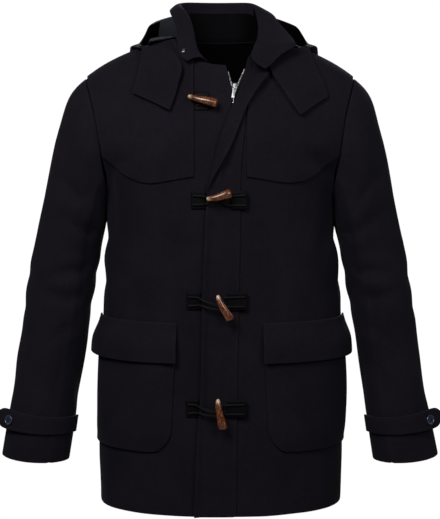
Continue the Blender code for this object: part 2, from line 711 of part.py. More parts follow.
def collarBase(side, front, turn, out, up):
    """Foot of a neck piece: beside and above the neck seam by out and up."""
    point = neckPoint(side, front, turn)
    away = unit(np.array((point[0], point[1], 0.0)))
    return point + away * out + np.array((0.0, 0.0, up))


def collarSections():
    """The collar's cross sections: foot, roll and free edge, from the right front to the left front."""
    stations = []
    for turn, *rest in COLLAR_RIGHT:
        stations.append((collarBase(-1, True, turn, 0.0, COLLAR_UP), rest))
    for turn, *rest in COLLAR_BACK:
        side = 1 if turn <= 90 else -1
        stations.append((collarBase(side, False, turn if turn <= 90 else 180 - turn, 0.0, COLLAR_UP), rest))
    for turn, *rest in COLLAR_LEFT:
        stations.append((collarBase(1, True, turn, 0.0, COLLAR_UP), rest))
    for row in COLLAR_END:
        stations.append((row[:3], row[3:]))
    return stations


COLLAR_UP = CLOTH + 0.0001
END_AT = (-0.0600, -0.0180)


def addCollar():
    """Collar rolled outward: it stands at the back, its left half lies open over hood and lapel."""
    rows = 8
    sections = []
    for base, rest in collarSections():
        roll, edge = np.array(rest[:3]), np.array(rest[3:])
        fall = edge - roll
        mid = base * 0.45 + roll * 0.55
        crown = np.array((0.0, 0.0, min(0.0045, 0.14 * np.linalg.norm(fall))))
        points = [base, mid, roll, roll + fall * 0.28 + crown, roll + fall * 0.64 + crown * 0.8, edge]
        sections.append(spline(points, rows))
    sections = np.array(sections)
    fine = np.array([spline(sections[:, j], 2 * len(sections) - 1) for j in range(rows)])
    grid = fine.transpose(1, 0, 2)
    normals = gridNormals(grid)
    normals = normals * -np.sign(normals[len(grid) // 2, 0][1])
    addWall("collar", grid, normals, CLOTH, 0.0, WOOL)
    skin = grid + normals * CLOTH
    near = nearestTo(skin, END_AT)
    corners = boxPoints((0, 0.0014, 0), (0.0045, 0.0020, 0.0080))
    out = unit(normals[near])
    right = unit(np.cross(out, (0.0, 0.0, 1.0)))
    frame = np.array((right, out, np.cross(right, out)))
    addNode("hood_zip_end", skin[near] + corners @ frame, BOX_FACES, METAL, 0.3, 1.0)


# placket and lapel
def addPlacket():
    """Placket strip over the zip; above the second toggle its edge turns back as a lapel."""
    lower = CLOTH + 0.0014
    grid, normals = [], []
    for z, free, seam in PLACKET:
        line, lines = [], []
        for share in PLACKET_SHARES:
            x = seam + (free - seam) * share
            point, normal = frontAt(x, z)
            rise = 0.0010 * smooth(share * 4.0)
            line.append(point + normal * (lower + rise))
            lines.append(normal)
        grid.append(line)
        normals.append(lines)
    for seamX, seamZ, rollX, rollZ, edgeX, edgeZ, rollUp, edgeUp in LAPEL:
        foot, footOut = frontAt(seamX, seamZ)
        roll, rollOut = frontAt(rollX, rollZ)
        edge, edgeOut = frontAt(edgeX, edgeZ)
        inner = np.array((rollX + 0.006, 0.0, rollZ))
        near, nearOut = frontAt(inner[0], inner[2])
        half, halfOut = frontAt((seamX + inner[0]) / 2, (seamZ + rollZ) / 2)
        lower = CLOTH + 0.0014 + 0.0020 * smooth((seamZ + 0.12) / 0.04)
        line = [foot + footOut * lower, half + halfOut * (lower + 0.0006),
                near + nearOut * (lower + 0.0015),
                roll + rollOut * (lower + (rollUp - lower) * 0.45),
                roll + rollOut * rollUp + np.array((0.0025, 0.0, 0.001)) * smooth((edgeX - rollX) / 0.02),
                roll + (edge - roll) * 0.34 + unit(rollOut + edgeOut) * (rollUp * 0.75 + edgeUp * 0.25),
                roll + (edge - roll) * 0.68 + unit(rollOut + edgeOut) * (rollUp * 0.3 + edgeUp * 0.7),
                edge + edgeOut * edgeUp]
        grid.append(line)
        normals.append(None)
    grid = np.array(grid)
    found = gridNormals(grid)
    sign = np.sign((found[0] * np.array((0, -1.0, 0))).sum())
    found = found * sign
    for i, given in enumerate(normals):
        if given is not None and i < len(PLACKET) - 1:
            found[i] = given
    addWall("placket", grid, found, DOUBLE * 0.75, 0.0, WOOL)


# hood
def hoodSection(side, azimuth, values):
    """One section of the hood in the upright plane through the neck at an azimuth from the back."""
    angle = math.radians(azimuth)
    out = np.array((side * math.sin(angle), math.cos(angle), 0.0))
    back = azimuth <= 90
    foot = neckPoint(side, back is False, 90.0 - azimuth if back else azimuth - 90.0)
    foot = foot + out * 0.0065 + np.array((0.0, 0.0, CLOTH + 0.0046))
    keys = [foot]
    for k in range(0, len(values), 2):
        keys.append(out * values[k] + np.array((0.0, 0.0, values[k + 1])))
    return spline(keys, 14)


def hoodGrid(side):
    stations = np.array([hoodSection(side, row[0], row[1:]) for row in HOOD])
    fine = np.array([spline(stations[:, j], 13) for j in range(stations.shape[1])])
    grid = fine.transpose(1, 0, 2)
    grid[0, :, 0] = side * 0.0004
    normals = gridNormals(grid)
    belly = normals[5, 9].dot(np.array((0.3 * side, 1.0, 0.0)))
    return grid, normals * np.sign(belly)


def addHood():
    """Two hood halves meeting at the middle seam, and the lining inside them below the rim."""
    halves = []
    for name, side in (("hood_left", 1), ("hood_right", -1)):
        grid, normals = hoodGrid(side)
        if side < 0:
            grid, normals = grid[::-1], normals[::-1]
        addWall(name, grid, normals, CLOTH, 0.0, WOOL)
        halves.append((grid[:, 8:13], normals[:, 8:13]))
    (left, leftOut), (right, rightOut) = halves
    grid = np.concatenate([right[:-1], (left[:1] + right[-1:]) / 2, left[1:]])
    outs = np.concatenate([rightOut[:-1], unit(leftOut[:1] + rightOut[-1:]), leftOut[1:]])
    addWall("hood_lining", grid, outs, LINING, -LINING - GAP, SATIN, 0.35)


# throat flap rows, top to bottom: inner x and z, outer x and z, inner lift, outer lift
FLAP_RIGHT = np.array([
    (0.0740, -0.0290, 0.1330, -0.0185, 0.0180, 0.0130),
    (0.0600, -0.0500, 0.1345, -0.0400, 0.0140, 0.0105),
    (0.0670, -0.0780, 0.1400, -0.0660, 0.0105, 0.0095),
    (0.0750, -0.1000, 0.1455, -0.0860, 0.0085, 0.0090),
    (0.0842, -0.1225, 0.1476, -0.0945, 0.0063, 0.0074),
])
FLAP_LEFT = np.array([
    (0.0800, -0.0330, 0.1540, -0.0170, 0.0120, 0.0110),
    (0.0860, -0.0600, 0.1590, -0.0420, 0.0100, 0.0100),
    (0.1010, -0.0820, 0.1690, -0.0630, 0.0095, 0.0090),
    (0.1180, -0.1070, 0.1790, -0.0860, 0.0080, 0.0084),
    (0.1350, -0.1300, 0.1830, -0.1000, 0.0057, 0.0064),
])


SNAP_AT = (0.136, -0.101)


def nearestTo(skin, place):
    """Index of the skin point nearest to a place (x, z) seen from the front."""
    away = np.hypot(skin[:, :, 0] - place[0], skin[:, :, 2] - place[1])
    return np.unravel_index(np.argmin(away), away.shape)


def addThroatFlap(name, side, table):
    """Front corner of the hood turned out flat on the chest."""
    columns = 7
    grid = np.zeros((columns, 9, 3))
    rows = spline(table, 9)
    for j, (inX, inZ, outX, outZ, inLift, outLift) in enumerate(rows):
        for i in range(columns):
            f = i / (columns - 1)
            x, z = inX + (outX - inX) * f, inZ + (outZ - inZ) * f
            point, normal = frontAt(side * x, z)
            lift = inLift + (outLift - inLift) * f + 0.002 * math.sin(math.pi * f)
            out = unit(normal * 0.35 + np.array((side * 0.10, -0.70, 0.50)))
            grid[i, j] = point + out * lift
            grid[i, j, 2] += max(z - point[2], 0.0)
    normals = gridNormals(grid)
    sign = np.sign((normals * np.array((0, -1.0, 0.3))).sum())
    addWall(name, grid, normals * sign, DOUBLE, 0.0, WOOL)
    return grid + normals * sign * DOUBLE, normals * sign


# pockets
POCKET_TOP = -0.498
POCKET_FOOT = -0.703
POCKET_SIDE = 0.955
FLAP_TOP = -0.478
FLAP_FOOT = -0.546


def lowV(z):
    return (z - HEM_Z) / (CHEST_Z - HEM_Z)


def addPocket(name, side):
    """Patch pocket wrapping to the side seam, its bag standing a little off the front."""
    columns, rows = 9, 9
    points = np.zeros((columns, rows, 3))
    normals = np.zeros((columns, rows, 3))
    lifts = np.zeros((columns, rows))
    for j in range(rows):
        g = j / (rows - 1)
        for i in range(columns):
            f = i / (columns - 1)
            z = POCKET_FOOT + (POCKET_TOP - POCKET_FOOT) * g
            corner = 0.017 * (max(0.0, 1 - f * 6.5) * max(0.0, 1 - g * 10.0)) ** 1.0
            inside = 0.0745 + 0.0095 * (1 - g) + corner
            start = sForX(side, lowV(z), side * inside)
            s = start + (POCKET_SIDE - start) * f
            zz = z + 0.006 * max(0.0, 1 - f * 6.5) * max(0.0, 1 - g * 8.0)
            points[i, j] = body(side, True, s, lowV(zz))
            normals[i, j] = bodyNormal(side, True, s, lowV(zz))
            rise = min(smooth(f * 9.0), smooth((1 - f) * 9.0)) * smooth(g * 7.0) * smooth((1.0 - g) * 3.0)
            lifts[i, j] = CLOTH + 2 * GAP + 0.0062 * rise
    addWall(name, points, normals, CLOTH, lifts, WOOL)


def addPocketFlap(name, side):
    """Pocket flap, sewn along its top edge and standing off at its lower edge."""
    columns, rows = 10, 6
    points = np.zeros((columns, rows, 3))
    normals = np.zeros((columns, rows, 3))
    lifts = np.zeros((columns, rows))
    for j in range(rows):
        g = j / (rows - 1)
        z = FLAP_TOP + (FLAP_FOOT - FLAP_TOP) * g
        start = sForX(side, lowV(z), side * 0.0725)
        for i in range(columns):
            s = start + (0.985 - start) * i / (columns - 1)
            points[i, j] = body(side, True, s, lowV(z))
            normals[i, j] = bodyNormal(side, True, s, lowV(z))
            lifts[i, j] = CLOTH + 2 * GAP + 0.0130 * smooth(g * 1.5) * (0.75 + 0.25 * i / (columns - 1))
    addWall(name, points, normals, DOUBLE, lifts, WOOL)


# toggles
# toggle rows: tip x and z, butt x and z, lift of the middle, patch centre z, left patch x range,
# right patch x range (zero where there is none to see)
TOGGLES = np.array([
    (-0.0523, -0.1001, -0.0034, -0.1144, 0.0175, -0.104, -0.0425, -0.0185, 0.0000, 0.0000),
    (-0.0225, -0.2661, 0.0191, -0.2580, 0.0245, -0.2690, -0.0480, -0.0235, 0.0180, 0.0455),
    (-0.0045, -0.4275, 0.0165, -0.4705, 0.0245, -0.4400, -0.0560, -0.0325, 0.0125, 0.0455),
    (-0.0035, -0.6040, 0.0040, -0.6560, 0.0245, -0.6240, -0.0570, -0.0360, 0.0125, 0.0455),
])
PATCH_HALF = 0.0150
PATCH_THICK = 0.0018
PLACKET_TOP = CLOTH + 0.0014 + 0.0010 + DOUBLE * 0.75


def addPatch(name, x0, x1, z, lift):
    """Small stitched patch holding the ends of a cord."""
    columns, rows = 4, 4
    points = np.zeros((columns, rows, 3))
    normals = np.zeros((columns, rows, 3))
    for i in range(columns):
        for j in range(rows):
            x = x0 + (x1 - x0) * i / (columns - 1)
            zz = z + PATCH_HALF * (2 * j / (rows - 1) - 1)
            points[i, j], normals[i, j] = frontAt(x, zz)
    addWall(name, points, normals, PATCH_THICK, lift, LEATHER, 0.6)


def addToggle(name, tip, butt, lift):
    """Horn toggle: a slightly bent, tapering rod, thickest near its butt."""
    tipPoint, tipOut = frontAt(tip[0], tip[1])
    buttPoint, buttOut = frontAt(butt[0], butt[1])
    out = unit(tipOut + buttOut)
    start, end = tipPoint + out * lift, buttPoint + out * lift
    forward = unit(end - start)
    across = unit(np.cross(forward, out))
    profile = [(0.0, 0.0016), (0.03, 0.0030), (0.12, 0.0044), (0.28, 0.0056), (0.45, 0.0063), (0.62, 0.0071),
               (0.80, 0.0080), (0.93, 0.0084), (0.985, 0.0076), (1.0, 0.0058)]
    sides = 12
    points = []
    for share, radius in profile:
        bend = out * (0.0028 * (1 - (2 * share - 1) ** 2) - 0.0014) + across * 0.0012 * math.sin(share * 5.0)
        centre = start + (end - start) * share + bend
        for k in range(sides):
            turn = 2 * math.pi * k / sides
            points.append(centre + radius * (math.cos(turn) * across + 0.86 * math.sin(turn) * out))
    faces = []
    for i in range(len(profile) - 1):
        for k in range(sides):
            n = (k + 1) % sides
            faces.append((i * sides + k, (i + 1) * sides + k, (i + 1) * sides + n, i * sides + n))
    faces.append(tuple(range(sides))[::-1])
    faces.append(tuple((len(profile) - 1) * sides + k for k in range(sides)))
    addNode(name, points, faces, HORN, 0.25)


def addDisc(name, centre, out, radius, thick, colour, rough, metal=0.0, sides=18):
    """Flat round button or snap with a rounded edge; centre is the middle of its back."""
    out = unit(out)
    side = unit(np.cross(out, (0.0, 0.0, 1.0)))
    up = np.cross(side, out)
    profile = ((0.86, 0.0), (1.0, 0.35), (1.0, 0.7), (0.86, 1.0))
    points = []
    for share, height in profile:
        for k in range(sides):
            turn = 2 * math.pi * k / sides
            spoke = math.cos(turn) * side + math.sin(turn) * up
            points.append(centre + out * thick * height + radius * share * spoke)
    faces = [tuple(range(sides))[::-1], tuple((len(profile) - 1) * sides + k for k in range(sides))]
    for i in range(len(profile) - 1):
        for k in range(sides):
            n = (k + 1) % sides
            faces.append((i * sides + k, i * sides + n, (i + 1) * sides + n, (i + 1) * sides + k))
    addNode(name, points, faces, colour, rough, metal)


def curveOn(stations, count):
    """Cord path from (x, z, lift) stations over the front."""
    return spline([onFront(x, z, lift) for x, z, lift in stations], count)


def addToggleSets():
    for number, row in enumerate(TOGGLES, 1):
        tipX, tipZ, buttX, buttZ, lift, patchZ, left0, left1, right0, right1 = row
        middleX, middleZ = tipX + (buttX - tipX) * 0.55, tipZ + (buttZ - tipZ) * 0.55
        addToggle("toggle_%d" % number, (tipX, tipZ), (buttX, buttZ), lift)
        rest = CLOTH + 2 * GAP
        addPatch("toggle_patch_%d" % number, left0, left1, patchZ, rest)
        high = rest + PATCH_THICK + 0.0010 + CORD
        under = lift - (0.0064 if right1 == 0.0 else 0.0052) - CORD - GAP
        if right1 == 0.0:
            path = [(left0 + 0.003, patchZ + 0.0075, high), (left0 + 0.014, patchZ + 0.0065, high),
                    (middleX + 0.002, middleZ + 0.0045, under), (middleX + 0.0065, middleZ, under),
                    (middleX + 0.002, middleZ - 0.0045, under), (left0 + 0.014, patchZ - 0.0080, high),
                    (left0 + 0.003, patchZ - 0.0085, high)]
            addTube("toggle_cord_%d" % number, curveOn(path, 19), CORD, LEATHER)
            continue
        path = [(left0 + 0.003, patchZ + 0.0075, high), (left1 - 0.008, patchZ + 0.007, high),
                (left1 - 0.001, patchZ + 0.006, high + 0.0030),
                (left1 + 0.008, patchZ + 0.004 + (middleZ - patchZ) * 0.3, under),
                (middleX - 0.002, middleZ + 0.0033, under),
                (middleX + 0.0030, middleZ, under), (middleX - 0.002, middleZ - 0.0033, under),
                (left1 + 0.008, patchZ - 0.005 + (middleZ - patchZ) * 0.3, under),
                (left1 - 0.001, patchZ - 0.006, high + 0.0030),
                (left1 - 0.008, patchZ - 0.007, high), (left0 + 0.003, patchZ - 0.0075, high)]
        addTube("toggle_cord_%d" % number, curveOn(path, 21), CORD, LEATHER)
        rest = PLACKET_TOP + GAP + 0.0004
        addPatch("loop_patch_%d" % number, right0, right1, patchZ, rest)
        low = rest + PATCH_THICK + GAP + CORD
        near = rest + CORD
        path = [(right1 - 0.004, patchZ + 0.0080, low), (right0 + 0.006, patchZ + 0.0075, low),
                (right0 - 0.0022, patchZ + 0.0070, low),
                (right0 - 0.0075, patchZ + 0.0065, near + 0.0003),
                (middleX - 0.001, middleZ + 0.0065, near),
                (middleX - 0.0075, middleZ + 0.0035, near), (middleX - 0.0075, middleZ - 0.0035, near),
                (middleX - 0.001, middleZ - 0.0065, near),
                (right0 - 0.0075, patchZ - 0.0085, near + 0.0003),
                (right0 - 0.0022, patchZ - 0.0085, low),
                (right0 + 0.006, patchZ - 0.0085, low), (right1 - 0.004, patchZ - 0.0085, low)]
        addTube("loop_cord_%d" % number, curveOn(path, 23), CORD, LEATHER)


# zip
SLIDER_Z = -0.0810
ZIP_TAPE = 0.0009
PULL_LENGTH = 0.0225


def addTape(name, grid, normals):
    """Zip tape behind the edge of a front panel, given that panel's points."""
    shares = (0.03, 0.90)
    last = grid.shape[1] - 1
    line = np.array([[grid[0, j] * (1 - f) + grid[1, j] * f for j in range(last)] for f in shares])
    outs = np.array([[unit(normals[0, j] * (1 - f) + normals[1, j] * f) for j in range(last)]
                     for f in shares])
    addWall(name, line, outs, ZIP_TAPE, -ZIP_TAPE - GAP, LEATHER, 0.8)


def addSlider():
    """Zip slider with its bridge, and the pull tab hinged under the bridge."""
    middle = (zipEdge(1, SLIDER_Z) + zipEdge(-1, SLIDER_Z)) / 2
    point, out = frontAt(middle, SLIDER_Z)
    lower, _ = frontAt(middle - 0.0042, SLIDER_Z - 0.020)
    up = unit(point - lower)
    out = unit(out - up * out.dot(up))
    right = np.cross(up, out) * -1.0
    frame = np.array((right, out, up))
    origin = point + out * (CLOTH + 0.0030)

    def place(corners):
        return origin + np.asarray(corners) @ frame

    plate = boxPoints((0, 0, 0), (0.0084, 0.0042, 0.0120), 0.70)
    posts = [boxPoints((0, 0.0034, z), (0.0014, 0.0044, 0.0014)) for z in (-0.0036, 0.0036)]
    bar = boxPoints((0, 0.0053, 0), (0.0018, 0.0012, 0.0094))
    addNode("zip_slider", *joinBoxes([place(c) for c in [plate] + posts + [bar]]), METAL, 0.3, 1.0)
    pivot = np.array((0, 0.0034, 0))
    top, ringFoot, wide, hole = 0.0006, -0.0080, 0.0029, 0.0017
    outline = [(-wide, top), (wide, top), (wide, ringFoot), (0.0023, -PULL_LENGTH), (-0.0023, -PULL_LENGTH),
               (-wide, ringFoot), (-hole, -top), (hole, -top), (hole, ringFoot + 0.0018),
               (-hole, ringFoot + 0.0018)]
    quads = ((0, 1, 7, 6), (1, 2, 8, 7), (2, 5, 9, 8), (5, 0, 6, 9), (5, 2, 3, 4))
    loops = ((0, 1), (1, 2), (2, 3), (3, 4), (4, 5), (5, 0), (7, 6), (8, 7), (9, 8), (6, 9))
    count = len(outline)
    points = [pivot + (x, y, z) for y in (0.00055, -0.00055) for x, z in outline]
    faces = list(quads) + [tuple(k + count for k in q[::-1]) for q in quads]
    faces += [(a, b, b + count, a + count) for a, b in loops]
    addNode("zip_pull", place(points), faces, METAL, 0.3, 1.0, origin=place(pivot))


def boxPoints(centre, size, taper=1.0):
    """Corners of a box; taper narrows its foot."""
    centre, half = np.asarray(centre, float), np.asarray(size, float) / 2
    corners = []
    for z in (-1, 1):
        wide = taper if z < 0 else 1.0
        for x, y in ((-1, -1), (1, -1), (1, 1), (-1, 1)):
            corners.append(centre + half * np.array((x * wide, y, z)))
    return np.array(corners)


BOX_FACES = ((0, 3, 2, 1), (4, 5, 6, 7), (0, 1, 5, 4), (1, 2, 6, 5), (2, 3, 7, 6), (3, 0, 4, 7))


def joinBoxes(boxes):
    """Boolean union of boxes as points and faces."""
    made = []
    for k, corners in enumerate(boxes):
        mesh = bpy.data.meshes.new("box")
        mesh.from_pydata([tuple(c) for c in corners], [], BOX_FACES)
        work = bmesh.new()
        work.from_mesh(mesh)
        bmesh.ops.recalc_face_normals(work, faces=work.faces)
        work.to_mesh(mesh)
        work.free()
        obj = bpy.data.objects.new("box", mesh)
        bpy.context.scene.collection.objects.link(obj)
        made.append(obj)
    first = made[0]
    for other in made[1:]:
        modifier = first.modifiers.new("join", "BOOLEAN")
        modifier.operation = "UNION"
        modifier.solver = "EXACT"
        modifier.object = other
    bpy.context.view_layer.update()
    graph = bpy.context.evaluated_depsgraph_get()
    mesh = first.evaluated_get(graph).to_mesh()
    points = [tuple(v.co) for v in mesh.vertices]
    faces = [tuple(p.vertices) for p in mesh.polygons]
    for obj in made:
        bpy.data.objects.remove(obj, do_unlink=True)
    return points, faces


def main():
    clearScene()
    FORMS[1] = FrontForm(1)
    FORMS[-1] = FrontForm(-1)
    addBack()
    for name, side in (("left", 1), ("right", -1)):
        grid, normals = addFront("front_" + name, side)
        addTape("zip_tape_" + name, grid, normals)
    addFrontYoke("yoke_front_left", 1)
    addFrontYoke("yoke_front_right", -1)
    addBackYoke()
    for name, side in (("left", 1), ("right", -1)):
        addSleeve("sleeve_top_" + name, side, -30.0, 210.0)
        addSleeve("sleeve_under_" + name, side, 210.0, 330.0)
        addStrap("cuff_strap_" + name, side)
        addPocket("pocket_" + name, side)
        addPocketFlap("pocket_flap_" + name, side)
    addCollar()
    addPlacket()
    addHood()
    addThroatFlap("throat_flap_right", -1, FLAP_RIGHT)
    skin, outs = addThroatFlap("throat_flap_left", 1, FLAP_LEFT)
    near = nearestTo(skin, SNAP_AT)
    addDisc("hood_snap", skin[near] + outs[near] * 0.0005, outs[near], 0.0033, 0.0014, NAVY_BUTTON,
            0.3, sides=12)
    addToggleSets()
    addSlider()


FORMS = {}
main()
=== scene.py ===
import math
import bmesh
import bpy
import numpy as np
from mathutils import Matrix, Vector, kdtree
from mathutils.bvhtree import BVHTree


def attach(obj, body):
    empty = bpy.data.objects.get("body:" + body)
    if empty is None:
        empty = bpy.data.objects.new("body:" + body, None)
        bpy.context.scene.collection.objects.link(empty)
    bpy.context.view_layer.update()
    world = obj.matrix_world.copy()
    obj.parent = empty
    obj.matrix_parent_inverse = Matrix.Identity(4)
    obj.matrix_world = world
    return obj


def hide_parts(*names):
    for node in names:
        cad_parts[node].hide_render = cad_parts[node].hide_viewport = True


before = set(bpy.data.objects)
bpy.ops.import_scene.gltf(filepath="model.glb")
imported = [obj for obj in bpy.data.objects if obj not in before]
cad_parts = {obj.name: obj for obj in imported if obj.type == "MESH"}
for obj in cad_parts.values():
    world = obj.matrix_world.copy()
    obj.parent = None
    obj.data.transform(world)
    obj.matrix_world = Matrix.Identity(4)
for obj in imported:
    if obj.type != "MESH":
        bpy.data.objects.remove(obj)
for startupName in ("Cube", "Light", "Camera"):
    if startupName in bpy.data.objects:
        bpy.data.objects.remove(bpy.data.objects[startupName])
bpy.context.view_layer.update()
scene = bpy.context.scene
scene.view_settings.view_transform = "Standard"
print("frame loaded:", len(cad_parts), "solids")

# where the coat is seen from, and the light in the room; each lamp has a name, place, size and power
studio = {
    "eye": (0.0, -3.0, -0.093), "aim": (0.0, 0.0, -0.384), "lens": 117.46, "sensor": 36.0,
    "floorHeight": -1.45, "floorSize": 9.0, "floorShade": (0.3, 0.3, 0.3, 1), "paleness": 1.02,
    "worldColour": (0.97, 0.98, 1, 1), "worldLight": 0.06, "lampAim": (0.0, 0.0, -0.35),
    "lamps": (
        ("keyLamp", (-0.85, -1.8, 1.15), 1.0, 60.0),
        ("fillLamp", (1.15, -2.2, 0.8), 1.0, 32.0),
        ("backLamp", (0.3, 3.2, 0.9), 2.2, 80.0),
        ("leftLamp", (-3.2, 0.5, 0.9), 1.6, 12.0),
        ("rightLamp", (3.2, 0.5, 0.9), 1.6, 12.0),
    ),
}


def aimAt(thing, target):
    away = Vector(target) - thing.location
    thing.rotation_euler = away.to_track_quat("-Z", "Y").to_euler()


def put(tree, kind, feeds=None, **settings):
    node = tree.nodes.new(kind if kind.startswith("NodeGroup") else "ShaderNode" + kind)
    for key, value in settings.items():
        setattr(node, key, value)
    for key, value in (feeds or {}).items():
        if isinstance(value, bpy.types.NodeSocket):
            tree.links.new(value, node.inputs[key])
        else:
            node.inputs[key].default_value = value
    return node


def maths(tree, operation, *values, clamp=False):
    return put(tree, "Math", dict(enumerate(values)), operation=operation, use_clamp=clamp).outputs[0]


def mixed(tree, share, dark, light):
    return put(tree, "Mix", {0: share, 6: dark, 7: light}, data_type="RGBA").outputs[2]


def ranged(tree, value, low, high, first, last):
    feeds = {"Value": value, "From Min": low, "From Max": high, "To Min": first, "To Max": last}
    return put(tree, "MapRange", feeds).outputs[0]


def noise(tree, place, scale, detail, **more):
    return put(tree, "TexNoise", {"Vector": place, "Scale": scale, "Detail": detail, **more}).outputs[0]


def paleToEye(tree, kind, felt):
    # nearly white to the camera, while only the felt shader throws light at the coat
    path = put(tree, "LightPath")
    seen = put(tree, kind, {"Color": (1, 1, 1, 1), "Strength": studio["paleness"]})
    feeds = {0: path.outputs["Is Camera Ray"], 1: felt.outputs[0], 2: seen.outputs[0]}
    return put(tree, "MixShader", feeds).outputs[0]


def smooth(mesh):
    mesh.polygons.foreach_set("use_smooth", [True] * len(mesh.polygons))


def applied(piece):
    # the piece's own mesh makes way for the one its modifier gives
    bpy.context.view_layer.update()
    plain = piece.data
    piece.data = bpy.data.meshes.new_from_object(piece.evaluated_get(bpy.context.evaluated_depsgraph_get()))
    piece.modifiers.clear()
    bpy.data.meshes.remove(plain)
    return piece.data


def linked(name, data):
    thing = bpy.data.objects.new(name, data)
    scene.collection.objects.link(thing)
    return thing


def makeStudio():
    eye = bpy.data.cameras.new("coatCamera")
    eye.sensor_fit = "VERTICAL"
    eye.sensor_height = studio["sensor"]
    eye.lens = studio["lens"]
    camera = linked("coatCamera", eye)
    camera.location = studio["eye"]
    aimAt(camera, studio["aim"])
    scene.camera = camera
    for name, place, size, power in studio["lamps"]:
        lamp = bpy.data.lights.new(name, "AREA")
        lamp.size = size
        lamp.energy = power
        holder = linked(name, lamp)
        holder.location = place
        aimAt(holder, studio["lampAim"])
    world = bpy.data.worlds.new("studioAir")
    scene.world = world
    world.use_nodes = True
    tree = world.node_tree
    tree.nodes.clear()
    felt = put(tree, "Background", {"Color": studio["worldColour"], "Strength": studio["worldLight"]})
    put(tree, "OutputWorld", {"Surface": paleToEye(tree, "Background", felt)})


makeStudio()
print("studio ready")


# the shared effects: each gives a colour, a height and a roughness
def newGroup(name, inputs):
    tree = bpy.data.node_groups.new(name, "ShaderNodeTree")
    for label, value in inputs.items():
        kind = "NodeSocketColor" if isinstance(value, tuple) else "NodeSocketFloat"
        tree.interface.new_socket(name=label, in_out="INPUT", socket_type=kind).default_value = value
    for label in ("Colour", "Height", "Roughness"):
        kind = "NodeSocketColor" if label == "Colour" else "NodeSocketFloat"
        tree.interface.new_socket(name=label, in_out="OUTPUT", socket_type=kind)
    return tree, put(tree, "NodeGroupInput").outputs


def closeGroup(tree, colour, height, rough):
    put(tree, "NodeGroupOutput", {"Colour": colour, "Height": height, "Roughness": rough})
    return tree


def clothGroup():
    # felted nap over a hidden weave, with brushed patches, and edges painted lighter: a painted highlight
    # where the thick edges catch the light, together with rubbed wear
    tree, start = newGroup("feltedNap", {
        "Colour": (0.01, 0.01, 0.01, 1), "Bloom": (0.02, 0.02, 0.02, 1), "Fibre Scale": 900.0, "Rough": 0.85,
        "Edge Highlight And Wear": 0.3})
    place = put(tree, "TexCoord").outputs["Object"]
    fine = noise(tree, place, start["Fibre Scale"], 5.0, Roughness=0.65, Distortion=0.6)
    tuft = noise(tree, place, 210.0, 3.0, Roughness=0.6)
    brushed = noise(tree, place, 13.0, 3.0, Roughness=0.55, Distortion=0.4)
    wide = ranged(tree, brushed, 0.3, 0.7, 0.0, 0.45)
    near = ranged(tree, tuft, 0.35, 0.7, 0.0, 0.35)
    tiny = ranged(tree, fine, 0.4, 0.75, 0.0, 0.45)
    # mask of the piece's rims: the colour lifted there is a painted edge highlight, together with rubbed wear
    rim = put(tree, "Attribute", attribute_name="edgeHighlightAndWear").outputs["Fac"]
    edgeLightAndWear = maths(tree, "MULTIPLY", rim, start["Edge Highlight And Wear"])
    blotch = maths(tree, "ADD", maths(tree, "ADD", wide, near), tiny)
    share = maths(tree, "ADD", blotch, edgeLightAndWear, clamp=True)
    colour = mixed(tree, share, start["Colour"], start["Bloom"])
    bumpy = maths(tree, "MULTIPLY_ADD", tuft, 0.8, fine)
    rough = maths(tree, "MULTIPLY_ADD", brushed, 0.12, start["Rough"], clamp=True)
    return closeGroup(tree, colour, bumpy, rough)


def twillGroup():
    # woven lining or tape: slanting ribs with slight shading from thread to thread
    tree, start = newGroup("wovenRibs", {
        "Colour": (0.01, 0.01, 0.01, 1), "Sheen Colour": (0.03, 0.03, 0.03, 1),
        "Threads": 420.0, "Rough": 0.4})
    place = put(tree, "TexCoord").outputs["Object"]
    turn = put(tree, "Mapping", {"Vector": place, "Rotation": (0.0, 0.45, 0.35)}).outputs[0]
    feeds = {"Vector": turn, "Scale": start["Threads"], "Distortion": 0.6, "Detail": 1.0}
    wave = put(tree, "TexWave", feeds, wave_type="BANDS", bands_direction="DIAGONAL").outputs["Fac"]
    slub = noise(tree, place, 55.0, 4.0)
    share = maths(tree, "MULTIPLY_ADD", wave, 0.45, slub, clamp=True)
    colour = mixed(tree, share, start["Colour"], start["Sheen Colour"])
    rough = maths(tree, "MULTIPLY_ADD", slub, 0.18, start["Rough"], clamp=True)
    return closeGroup(tree, colour, wave, rough)


def grainGroup():
    # leather: small pebbled cells with darker creases between them
    tree, start = newGroup("pebbleGrain", {
        "Colour": (0.01, 0.01, 0.01, 1), "Worn": (0.03, 0.03, 0.03, 1), "Cells": 900.0, "Rough": 0.5})
    place = put(tree, "TexCoord").outputs["Object"]
    cells = put(tree, "TexVoronoi", {"Vector": place, "Scale": start["Cells"]}, feature="DISTANCE_TO_EDGE")
    ridge = ranged(tree, cells.outputs["Distance"], 0.0, 0.16, 0.0, 1.0)
    cloud = noise(tree, place, 90.0, 4.0)
    share = maths(tree, "MULTIPLY", ranged(tree, cloud, 0.48, 0.72, 0.0, 0.8), ridge)
    colour = mixed(tree, share, start["Colour"], start["Worn"])
    rough = maths(tree, "MULTIPLY_ADD", cloud, -0.15, start["Rough"], clamp=True)
    return closeGroup(tree, colour, ridge, rough)


feltedNap = clothGroup()
wovenRibs = twillGroup()
pebbleGrain = grainGroup()


def newSurface(name):
    surface = bpy.data.materials.new(name)
    surface.use_nodes = True
    surface.node_tree.nodes.clear()
    return surface, surface.node_tree


